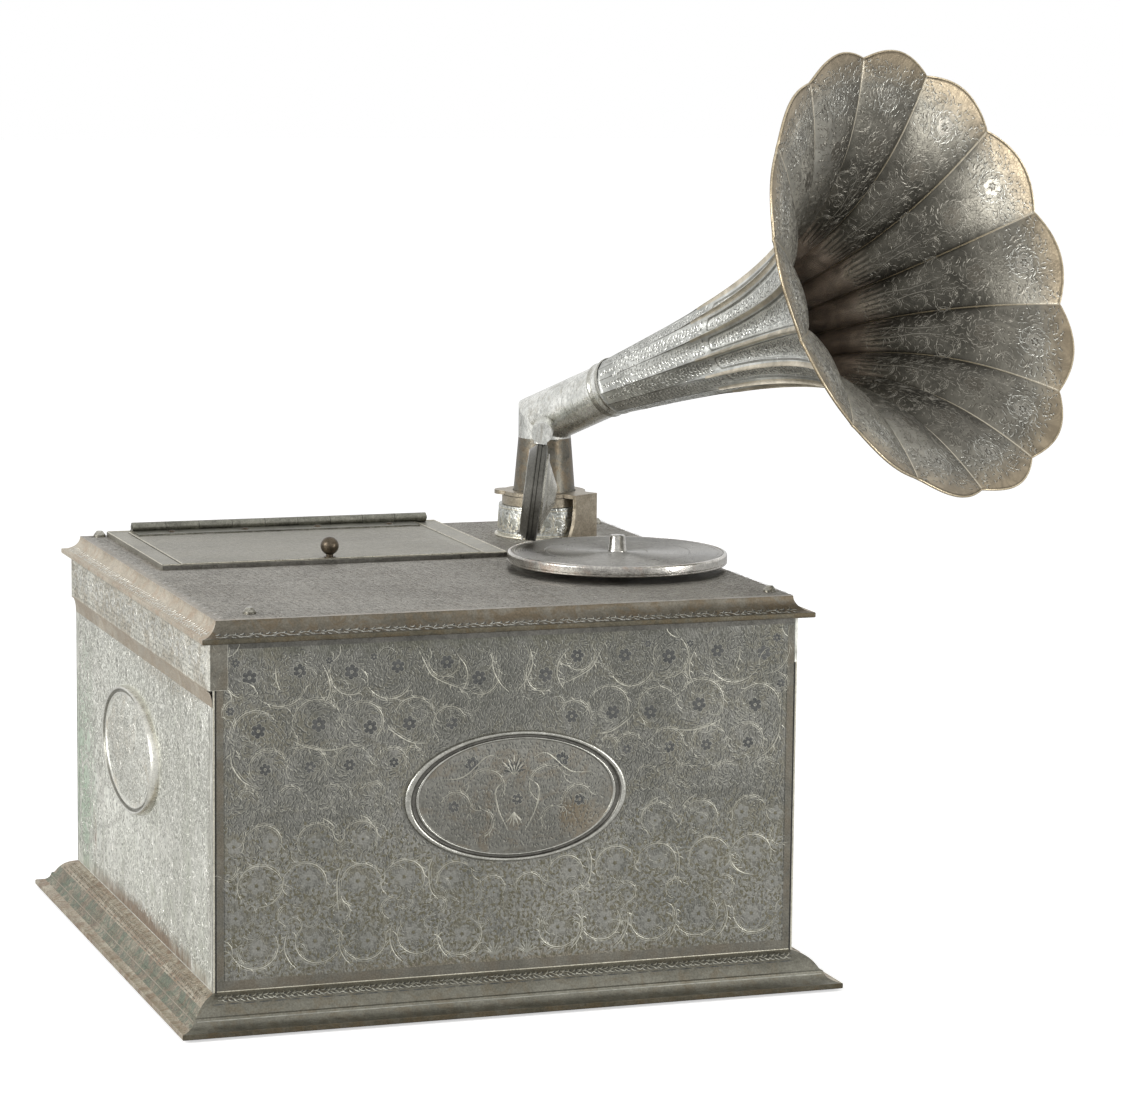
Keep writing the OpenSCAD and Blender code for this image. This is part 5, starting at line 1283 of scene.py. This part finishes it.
# %% Ring and leaves of the turret's collar
collar_place = Matrix.Translation((*COLLAR_AT, deck_hi.z / MM))
foot_ring = [(29.5, 0), (31.5, 0), (31.8, 0.4), (31.5, 1.0), (30.6, 1.4), (29.5, 1.5), (29.5, 0)]
turn("collar_foot_ring", foot_ring, collar_place, edge_metal, "case", "plain_silver")
COLLAR_RADIUS, COLLAR_FOOT = 29.6, 30
collar_pen, collar_dark = Pen(), Pen()
for a in np.arange(0, 360, 15.0):
    at = (math.radians(a) * COLLAR_RADIUS, 10)
    ring_stem(collar_pen, at, 4.6, a, 250, 1.3)
    leaf(collar_pen, (at[0] + 3.8, 4), 1.2, 6, 1.3, 0.8)
    leaf(collar_pen, (at[0] + 3.8, 16), -1.2, 5, 1.2, 0.8)
    collar_dark.ovals([at], 0.0, 2.4, 2.2)
for level in (2.2, 18.2):
    around = np.linspace(0, 2 * np.pi * COLLAR_RADIUS, 90)
    collar_pen.stroke(np.column_stack([around, np.full(90, level)]), 0.7, swell=0)


def round_collar(points):
    """A place function: mm round the collar, mm above the deck, height over the collar, which tapers."""
    a = points[:, 0] / COLLAR_RADIUS
    r = COLLAR_FOOT - points[:, 1] / 20 + points[:, 2]
    return np.column_stack([COLLAR_AT[0] + r * np.cos(a), COLLAR_AT[1] + r * np.sin(a),
                            deck_hi.z / MM + points[:, 1]]) * MM


collar_pen.make("collar_leaves", round_collar, edge_metal, "case", "plain_silver")
collar_dark.make("collar_flowers", round_collar, side_cut, "case", "plain_silver")

# %% [markdown]
# ## The horn
# The horn is fourteen petals of thin sheet, seamed edge to edge. Each petal bulges a little
# towards the horn's axis, so the seams lie in shallow valleys inside and stand proud outside. A
# lathe can't make that, so the surface is computed: a flared profile, pushed out or in by how
# far across a petal and how far along the horn a point lies. Two such skins are joined at the lip.

# %% The horn's shape
PETALS = 14
PETAL_TURN = math.radians(1.5)
HORN_START = np.array([0.145684, 0.056150, 0.332205])    # where the horn's axis starts in the CAD, in metres
HORN_AZ, HORN_RISE = math.radians(-61), math.radians(19.6)
SHEET = 0.8
CUSP_S, LOBE_EXTRA = 250.9, 2.7     # how far along the lip lies at a seam, and how much further at a lobe
NECK, CONE, BELL, BELL_LENGTH = 18.2, 0.092, 0.355, 45.2   # a narrow end, a cone and a growing bell
HORN_FROM = 1.2                     # where the skin starts along the horn
PANEL_START = 98                    # where the outside's embossed panels begin
STRIP_START = PANEL_START - 8.0     # where the tan strips between the panels begin
FOLD, LIP_FOLD = 5.8, 2.2           # how deep a petal bulges inward, in the middle of the horn and at its lip
FOLD_GROWS, FOLD_EASES = (50, 130), (215, 252)          # stretches along the horn, in mm
FACET_EASES, PANEL_RISES, PANEL_ENDS = (60, 110), (80, 98), (238, 247)

axis_z = np.array([math.cos(HORN_RISE) * math.cos(HORN_AZ), math.cos(HORN_RISE) * math.sin(HORN_AZ),
                   math.sin(HORN_RISE)])
axis_y = np.array([-math.sin(HORN_AZ), math.cos(HORN_AZ), 0])
axis_x = np.cross(axis_y, axis_z)


def flare(s):
    """The horn's outer radius, s mm along it."""
    return NECK + CONE * s + BELL * (np.exp(s / BELL_LENGTH) - 1)


def flare_slope(s):
    return CONE + BELL / BELL_LENGTH * np.exp(s / BELL_LENGTH)


def smooth_step(low, high, x):
    t = np.clip((x - low) / (high - low), 0, 1)
    return t * t * (3 - 2 * t)


def lip_at(share):
    return CUSP_S + LOBE_EXTRA * np.sin(np.pi * share)

# %% A point of the horn's skin
def horn_point(turn, s, lift, outside):
    """A point of the skin: turn counts petals round, s is in mm along, lift is outward in mm."""
    share = turn - np.floor(turn + 1e-9)
    width = 2 * np.pi * flare(s) / PETALS
    hump = np.sin(np.pi * np.clip(share, 0, 1)) ** 0.6
    push = -(FOLD * smooth_step(*FOLD_GROWS, s) - (FOLD - LIP_FOLD) * smooth_step(*FOLD_EASES, s)) * hump
    if outside:
        facet = flare(s) * (np.cos(np.pi / PETALS) / np.cos((share - 0.5) * 2 * np.pi / PETALS) - 1)
        strip = 2.0 + 0.004 * s
        round_start = np.maximum(PANEL_START + width / 2 - strip - s, 0)
        reach = np.hypot(np.abs(share - 0.5) * width, round_start)
        in_panel = smooth_step(-0.2, 1.0, width / 2 - strip - reach)
        in_panel = in_panel * smooth_step(PANEL_START - 1, PANEL_START + 1, s)
        sunk = 0.7 * in_panel * (1 - smooth_step(*PANEL_ENDS, s))
        push = push + facet * (1 - smooth_step(*FACET_EASES, s)) - sunk
        push = push + 0.5 * smooth_step(*PANEL_RISES, s)
    else:
        push = push - SHEET
    push = push + lift
    slope = flare_slope(s)
    norm = np.sqrt(1 + slope ** 2)
    along = s - push * slope / norm
    radius = flare(s) + push / norm
    angle = PETAL_TURN + turn * 2 * np.pi / PETALS
    return HORN_START + MM * (along[:, None] * axis_z + (radius * np.cos(angle))[:, None] * axis_x
                              + (radius * np.sin(angle))[:, None] * axis_y)

# %% Build the two skins
ACROSS, ALONG = 24, 96
share_steps = 0.5 - 0.5 * np.cos(np.pi * np.linspace(0, 1, ACROSS + 1))
t_steps = 1 - (1 - np.linspace(0, 1, ALONG + 1)) ** 1.25


def skin(outside):
    """Points, quads, and how far along and across each point lies, for one side of the horn."""
    columns = PETALS * (ACROSS + 1)
    share = np.tile(share_steps, (ALONG + 1, PETALS))
    turn = share * (1 - 2e-6) + np.repeat(np.arange(PETALS), ACROSS + 1)[None, :] + 1e-6
    s = HORN_FROM + t_steps[:, None] * (lip_at(share) - HORN_FROM)
    quads = grid_faces(ALONG + 1, columns)
    quads = quads[(quads[:, 0] % columns) % (ACROSS + 1) != ACROSS]
    if outside:
        quads = quads[:, ::-1]
    return horn_point(turn.ravel(), s.ravel(), np.zeros(s.size), outside), quads, s.ravel(), share.ravel()


outer, outer_quads, outer_s, outer_share = skin(True)
inner, inner_quads, inner_s, inner_share = skin(False)
row = PETALS * (ACROSS + 1)
rims = []
for start in (0, ALONG * row):
    edge = start + (np.arange(PETALS)[:, None] * (ACROSS + 1) + np.arange(ACROSS)[None, :]).ravel()
    quad = np.column_stack([edge, edge + 1, edge + 1 + len(outer), edge + len(outer)])
    rims.append(quad if start else quad[:, ::-1])
horn_points = np.concatenate([outer, inner])
horn_quads = np.concatenate([outer_quads, inner_quads + len(outer)] + rims)
print("horn lip radius", round(float(flare(CUSP_S)), 1), "mm,", len(horn_quads), "faces")

# %% [markdown]
# ## The band at the tube's end
# The tube ends in a plain bright band, into which the horn is pushed. It is turned on the
# tube's own axis, which rises a little more steeply than the horn.

# %% Turn the tube's band
TUBE_RISE = 22.8
tube_end = (Matrix.Translation([float(c) / MM for c in HORN_START]) @ rotate(math.degrees(HORN_AZ), "Z")
            @ rotate(90 - TUBE_RISE, "Y"))
band_section = [(16.8, -9.4), (17.5, -9.2), (18.0, -8.4), (18.0, -7.8), (17.7, -7.2), (17.8, -1.8),
                (18.6, -0.6), (18.7, 0.4), (18.2, 1.0), (16.8, 0.6), (16.8, -9.4)]
turn("tube_end_band", band_section, tube_end, bead_metal, "swing", "plain_silver", 72)

# %% [markdown]
# ## The horn's two finishes
# Outside, the engraved panels are bright and the strips between them are plain tan metal.
# Inside, the throat is smooth and glossy, and the engraved ends are a warm grey. The petals on
# one side are painted lighter where the light falls, and the ends by the lip carry a painted
# highlight. The mesh carries how far along and across each point is, so the materials can
# follow the petals.

# %% The inside's finish
ENGRAVED, LIP_HIGHLIGHT, WARM_LIP = (160, 173), (234, 256), (244, 252)    # where each begins and is full, in mm


def attribute(tree, name):
    return node(tree, "Attribute", attribute_name=name).outputs["Fac"]


def horn_inside():
    material, tree, shader = new_finish("horn_inside", 0.9)
    coords = place_coords(tree)
    along, across = attribute(tree, "along"), attribute(tree, "across")
    from_middle = maths(tree, "ABSOLUTE", maths(tree, "SUBTRACT", across, 0.5))
    feather = maths(tree, "ABSOLUTE", maths(tree, "SINE", maths(tree, "MULTIPLY", across, math.pi * 7)))
    edge = maths(tree, "ADD", maths(tree, "MULTIPLY_ADD", feather, -12.0, along),
                 maths(tree, "MULTIPLY_ADD", noise(tree, coords, 30, 3), 16.0, -8.0))
    zone = rescale(tree, edge, *ENGRAVED)
    cloud = noise(tree, coords, 26, 4, 0.65, 0.8)
    throat = ramp(tree, cloud, [(0.35, srgb(150, 141, 131)), (0.65, srgb(190, 181, 171))])
    petal = ramp(tree, cloud, [(0.35, srgb(73, 71, 64)), (0.65, srgb(98, 95, 87))])
    # Painted light: the petals on one side of the horn are painted paler, where the light falls on them.
    inward = vector_maths(tree, "SUBTRACT", node(tree, "TexCoord").outputs["Object"], tuple(HORN_START))
    sideways = vector_maths(tree, "DOT_PRODUCT", inward, tuple(-axis_y), "Value")
    painted_light_side = rescale(tree, sideways, 0.0, 0.08, 0.0, 0.9)
    petal = mix(tree, painted_light_side, petal, srgb(208, 205, 194))
    colour = mix(tree, zone, throat, petal)
    # Painted highlight: towards the lip the petals are painted lighter, up to a ragged edge.
    highlight_reach = maths(tree, "MULTIPLY_ADD", noise(tree, coords, 40, 4, 0.6), 30.0, along)
    bright = rescale(tree, highlight_reach, *LIP_HIGHLIGHT)
    colour = mix(tree, maths(tree, "MULTIPLY", bright, 0.5), colour, srgb(156, 152, 140))
    # A warm tone along the lip: partly the tan of the rolled edge, partly a painted warm highlight.
    warm = rescale(tree, along, *WARM_LIP)
    colour = mix(tree, maths(tree, "MULTIPLY", warm, 0.75), colour, srgb(164, 148, 122))
    marks = rescale(tree, noise(tree, coords, 60, 5, 0.7, 1.0), 0.42, 0.6, 0.72, 1.12)
    colour = mix(tree, 1.0, colour, as_grey(tree, marks), "MULTIPLY")
    seam = maths(tree, "GREATER_THAN", from_middle, 0.489)
    colour = mix(tree, maths(tree, "MULTIPLY", seam, 0.8), colour, srgb(206, 198, 180))
    tree.links.new(colour, shader.inputs["Base Color"])
    tree.links.new(rescale(tree, zone, 0, 1, 0.2, 0.36), shader.inputs["Roughness"])
    cuts = cell_edges(tree, coords, 420.0)
    height = maths(tree, "MULTIPLY", maths(tree, "MINIMUM", cuts, 0.12), zone)
    lift_normal(tree, shader, 0.4, 0.001, height)
    return material

# %% The outside's finish
def horn_outside():
    material, tree, shader = new_finish("horn_outside", 0.9)
    coords = place_coords(tree)
    along, across = attribute(tree, "along"), attribute(tree, "across")
    from_middle = maths(tree, "ABSOLUTE", maths(tree, "SUBTRACT", across, 0.5))
    strip = maths(tree, "MULTIPLY", maths(tree, "GREATER_THAN", from_middle, 0.42),
                  maths(tree, "GREATER_THAN", along, STRIP_START))
    seam = maths(tree, "MULTIPLY", maths(tree, "GREATER_THAN", from_middle, 0.47),
                 maths(tree, "LESS_THAN", along, STRIP_START))
    cloud = noise(tree, coords, 30, 4, 0.6)
    engraved = ramp(tree, cloud, [(0.35, srgb(170, 171, 166)), (0.65, srgb(218, 219, 214))])
    tan = ramp(tree, cloud, [(0.35, srgb(176, 168, 151)), (0.65, srgb(214, 206, 189))])
    lip = rescale(tree, along, 236, 246)
    colour = mix(tree, maths(tree, "MAXIMUM", strip, lip), engraved, tan)
    colour = mix(tree, maths(tree, "MULTIPLY", seam, 0.7), colour, srgb(70, 64, 54))
    blotch = rescale(tree, noise(tree, coords, 90, 5, 0.7, 0.8), 0.36, 0.64, 0.72, 1.14)
    colour = mix(tree, 1.0, colour, as_grey(tree, blotch), "MULTIPLY")
    tree.links.new(colour, shader.inputs["Base Color"])
    shader.inputs["Roughness"].default_value = 0.36
    lift_normal(tree, shader, 0.3, 0.0006, noise(tree, coords, 700, 3, 0.6))
    return material

# %% Add the horn
horn = add_piece("petal_horn", horn_points, horn_quads, horn_outside(), "swing")
horn.data.materials.append(horn_inside())
inside_faces = [0] * len(outer_quads) + [1] * (len(horn_quads) - len(outer_quads))
horn.data.polygons.foreach_set("material_index", inside_faces)
for key, values in (("along", (outer_s, inner_s)), ("across", (outer_share, inner_share))):
    layer = horn.data.attributes.new(key, "FLOAT", "POINT")
    layer.data.foreach_set("value", np.concatenate(values).astype(np.float32))
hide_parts("horn")

# %% [markdown]
# ## The lip's wire
# The edge of the sheet is rolled over a wire, which gives the thin bright line round each
# petal. A tube is swept along the lip with a ring of points at every step.

# %% Sweep the lip's wire
def sweep(path, radius, sides=8):
    """Points and quads of a closed tube along a closed path of points, in metres."""
    path = np.asarray(path)
    along = np.roll(path, -1, 0) - np.roll(path, 1, 0)
    along /= np.linalg.norm(along, axis=1)[:, None]
    side = np.cross(along, axis_z)
    side /= np.linalg.norm(side, axis=1)[:, None]
    other = np.cross(along, side)
    turns = np.linspace(0, 2 * np.pi, sides, endpoint=False)
    rings = path[:, None] + radius * (np.cos(turns)[None, :, None] * side[:, None]
                                      + np.sin(turns)[None, :, None] * other[:, None])
    n = len(path)
    i, j = np.meshgrid(np.arange(n), np.arange(sides), indexing="ij")
    quads = np.stack([i * sides + j, ((i + 1) % n) * sides + j, ((i + 1) % n) * sides + (j + 1) % sides,
                      i * sides + (j + 1) % sides], -1)
    return rings.reshape(-1, 3), quads.reshape(-1, 4)


lip_share = np.linspace(0, 1, 25)[:-1]
lip_turn = (np.arange(PETALS)[:, None] + lip_share[None, :]).ravel() + 1e-6
lip_path = horn_point(lip_turn, np.tile(lip_at(lip_share), PETALS), np.full(len(lip_turn), 0.3), False)
points, quads = sweep(lip_path, 0.6 * MM)
lip_tan = aged_metal("lip_tan", srgb(164, 150, 124), srgb(212, 198, 170), metallic=0.95, rough=(0.22, 0.34),
                     cloud=40)
add_piece("horn_lip_wire", points, quads, lip_tan, "swing")

# %% [markdown]
# ## Engraving on the horn
# Outside, rows of small leaves run along each panel like the barbs of a feather. Inside, each
# petal has two rosettes with leaves round them. One petal is drawn flat, as mm across it and mm
# along its curve, and the drawing is then laid on all fourteen.

# %% Engrave the horn
S_TABLE = np.linspace(0, 256, 1025)
CURVE_TABLE = np.concatenate([[0], np.cumsum(np.hypot(np.diff(S_TABLE), np.diff(flare(S_TABLE))))])


def curve_at(s):
    """How far round its curve a petal has come, s mm along the horn's axis."""
    return float(np.interp(s, S_TABLE, CURVE_TABLE))


def lay_on_petals(name, pen, outside, material, middle_share=0.5):
    """Repeat a petal's drawing round the horn; middle_share 0 puts its middle on the seams."""
    points, faces = np.concatenate(pen.points), np.concatenate(pen.faces)
    s = np.interp(points[:, 1], CURVE_TABLE, S_TABLE)
    turn = middle_share + points[:, 0] * PETALS / (2 * np.pi * flare(s))
    sign = 1 if outside else -1
    laid = [horn_point(petal + turn, s, sign * points[:, 2], outside) for petal in range(PETALS)]
    all_faces = np.concatenate([faces + k * len(points) for k in range(PETALS)])
    return add_piece(name, np.concatenate(laid), all_faces, material, "swing")


print("a petal is", round(curve_at(CUSP_S)), "mm long round its curve")

# %% Draw the outside of a petal
def panel_half(s):
    """Half the width of a panel, s mm along the horn."""
    return math.pi * flare(s) / PETALS - 2.8


outer_light, outer_dark = Pen(), Pen()
barbs = []
for along in np.arange(5, curve_at(243), 2.7):
    s = np.interp(along, CURVE_TABLE, S_TABLE)
    half = math.pi * flare(s) / PETALS - (0.8 if s < PANEL_START else 3.4)
    lanes = np.arange(1.1, half, 2.5)
    for u in np.concatenate([-lanes, lanes]):
        barbs.append((u, along + 0.25 * abs(u), math.pi / 2 - math.copysign(0.75, u)))
barbs = np.array(barbs)
loose = rng.uniform(-0.8, 0.8, (len(barbs), 2))
bends = 1.2 * np.sign(barbs[:, 0])
outer_light.dashes(barbs[:, :2] + loose, barbs[:, 2] + rng.uniform(-0.7, 0.7, len(barbs)),
                   rng.uniform(2, 4, len(barbs)), 0.8, bends, 0.2)
outer_dark.dashes(barbs[:, :2] + loose + (0.2, 1.2), barbs[:, 2], 2.6, 0.7, bends, 0.1)
for s in np.arange(PANEL_START + 8, 240, 8.0):
    reach = panel_half(s)
    for side in (-1, 1):
        leaf(outer_dark, (side * 0.8, curve_at(s)), math.pi / 2 - side * 0.7, 0.75 * reach, 1.1, -side * 1.2)
        leaf(outer_light, (side * 0.8, curve_at(s) + 2.2), math.pi / 2 - side * 0.7, 0.8 * reach, 0.9,
             -side * 1.2)
        leaf(outer_dark, (side * 0.5 * reach, curve_at(s) + 5), math.pi / 2 + side * 0.5, 4.0, 0.8,
             side * 1.4)
bow = PANEL_START + 8
bow_half = panel_half(bow)
edge_at = np.linspace(242, bow, 24)
for inset, pen, width in ((0.0, outer_dark, 1.0), (1.3, outer_light, 0.8)):
    left_edge = [(-(panel_half(s) - inset), curve_at(s)) for s in edge_at]
    round_end = polar((0, curve_at(bow)), bow_half - inset, np.linspace(math.pi, 2 * math.pi, 12)).tolist()
    pen.stroke(left_edge + round_end[1:-1] + [(-u, v) for u, v in left_edge[::-1]], width, swell=0.3)

# %% Draw the inside of a petal
inner_light, inner_dark, inner_bright = Pen(), Pen(), Pen()
for s, radius in ((242.0, 6.4), (224.0, 6.6)):
    at = (0, curve_at(s))
    near_lip = s > 230
    fill, line = (inner_light, inner_bright) if near_lip else (inner_dark, inner_light)
    round_flower(fill, line, at, radius, 6)
    if near_lip:
        round_flower(inner_dark, inner_bright, at, radius * 0.5, 6, 0.8)
    for k in range(16):
        a = k * 2 * math.pi / 16
        leaf(line, polar(at, radius * 1.35, np.array([a]))[0], a + 1.5, 4.2, 0.7, 0.9)
for side in (-1, 1):
    for s, u in ((184, 7), (197, 9.5), (211, 11)):
        ring_stem(inner_light, (side * u * 0.8, curve_at(s)), 4.4, 90 - side * 60, side * 240, 0.8)
    ring_stem(inner_light, (side * 17, curve_at(232)), 6, 90, side * 260, 1.0)
    ring_stem(inner_light, (side * 12, curve_at(208)), 5, 90, -side * 260, 0.9)
    corners = [(side * u, curve_at(s)) for u, s in ((1, 166), (4, 180), (2, 196), (4, 212))]
    inner_light.stroke(smooth_path(corners), 0.6)

# %% Fill the inside with small cuts
feathers = []
for along in np.arange(curve_at(170), curve_at(250.4), 3.1):
    s = np.interp(along, CURVE_TABLE, S_TABLE)
    half = math.pi * flare(s) / PETALS - 2.6
    lanes = np.arange(1.5, half, 3.0)
    for u in np.concatenate([-lanes, lanes]):
        feathers.append((u, along, math.pi / 2 - math.copysign(0.2 + 0.9 * abs(u) / half, u)))
feathers = np.array(feathers)
feathers = feathers[rng.random(len(feathers)) < 0.8]
scatter = rng.uniform(-1.3, 1.3, (len(feathers), 2))
at_lip = feathers[:, 1] > curve_at(236)
for pen, some in ((inner_bright, at_lip), (inner_light, ~at_lip)):
    aslant = feathers[:, 2] + rng.uniform(-1, 1, len(feathers))
    pen.dashes((feathers[:, :2] + scatter)[some], aslant[some], rng.uniform(2.4, 5.2, some.sum()), 0.5,
               rng.uniform(-2, 2, some.sum()))
inner_dark.dashes(feathers[:, :2] + scatter + (0.7, 0.5), feathers[:, 2] + rng.uniform(-1, 1, len(feathers)),
                  rng.uniform(2, 4.6, len(feathers)), 0.5, rng.uniform(-2, 2, len(feathers)))
for a in np.linspace(0.2, math.pi - 0.2, 11):
    spot = (15 * math.cos(a), curve_at(240) + 5 * math.sin(a) - 1)
    leaf(inner_light, spot, a + 0.9, 5.5, 1.0, 1.3)
    leaf(inner_dark, (spot[0] + 0.9, spot[1]), a + 0.9, 5.0, 0.7, 1.3)

# %% Lay the drawings on all the petals
solder = Pen()
solder.ovals([(0, curve_at(247))], 0.0, 1.9, 2.6, lift=0.9)
solder.ovals([(0, curve_at(249.5))], 0.0, 1.4, 1.6, lift=0.9)

horn_line = aged_metal("horn_line", srgb(204, 204, 198), srgb(234, 234, 228), metallic=0.95,
                       rough=(0.22, 0.34), grain=300)
horn_cut = aged_metal("horn_cut", srgb(112, 112, 107), srgb(146, 146, 140), rough=(0.4, 0.55))
inner_line = aged_metal("inner_line", srgb(116, 113, 104), srgb(150, 146, 136), metallic=0.95,
                        rough=(0.25, 0.36), grain=300)
inner_cut = aged_metal("inner_cut", srgb(78, 74, 66), srgb(100, 96, 87), rough=(0.35, 0.5))
lay_on_petals("horn_outer_leaves", outer_light, True, horn_line)
lay_on_petals("horn_outer_cuts", outer_dark, True, horn_cut)
lay_on_petals("horn_inner_leaves", inner_light, False, inner_line)
lay_on_petals("horn_inner_cuts", inner_dark, False, inner_cut)
lay_on_petals("horn_inner_bright", inner_bright, False, bead_metal)
lay_on_petals("horn_solder", solder, True, polished, 0.0)
drawn = sum(pen.count for pen in (outer_light, outer_dark, inner_light, inner_dark, inner_bright))
print("horn engraving has", PETALS * drawn, "points")

# %% [markdown]
# ## Floor and light
# A pale floor keeps a soft shadow. Rays that come from the camera see a white world, and so do
# reflections, while the light that falls on the object comes from two large soft lamps and a
# dimmer sky.

# %% Set the stage
floor_mesh = bpy.data.meshes.new("floor")
FLOOR = 12    # half its width, in metres
floor_corners = [(-FLOOR, -FLOOR, 0), (FLOOR, -FLOOR, 0), (FLOOR, FLOOR, 0), (-FLOOR, FLOOR, 0)]
floor_mesh.from_pydata(floor_corners, [], [(0, 1, 2, 3)])
floor = bpy.data.objects.new("floor", floor_mesh)
bpy.context.scene.collection.objects.link(floor)
floor_white, tree, shader = new_finish("floor_white", 0.0,
                                       **{"Base Color": srgb(236, 236, 236), "Roughness": 0.9})
seen = node(tree, "LightPath").outputs["Is Camera Ray"]
shader.inputs["Emission Color"].default_value = (1, 1, 1, 1)
FLOOR_GLOW = 0.55
tree.links.new(maths(tree, "MULTIPLY", seen, FLOOR_GLOW), shader.inputs["Emission Strength"])
floor_mesh.materials.append(floor_white)

world = bpy.data.worlds.new("studio")
bpy.context.scene.world = world
world.use_nodes = True
tree = world.node_tree
tree.nodes.clear()
path = node(tree, "LightPath")
seen = maths(tree, "MAXIMUM", path.outputs["Is Camera Ray"],
             maths(tree, "MAXIMUM", path.outputs["Is Glossy Ray"], path.outputs["Is Transmission Ray"]))
SKY = 0.55
strength = maths(tree, "MULTIPLY_ADD", seen, 1 - SKY, SKY)
background = node(tree, "Background", {"Color": (1, 1, 1, 1), "Strength": strength})
node(tree, "OutputWorld", {"Surface": background.outputs[0]})

# %% Hang the lamps
def soft_lamp(name, at, target, size, watts):
    data = bpy.data.lights.new(name, "AREA")
    data.shape = "SQUARE"
    data.size = size
    data.energy = watts
    lamp = bpy.data.objects.new(name, data)
    lamp.location = at
    lamp.rotation_euler = (Vector(target) - Vector(at)).to_track_quat("-Z", "Y").to_euler()
    bpy.context.scene.collection.objects.link(lamp)


CENTRE = (0, 0, 0.2)
soft_lamp("key_lamp", (-2.4, -0.5, 1.2), CENTRE, 1.2, 46)
soft_lamp("fill_lamp", (2.0, -2.1, 0.6), (0.1, 0, 0.3), 0.9, 24)
bpy.context.scene.view_settings.view_transform = "Standard"
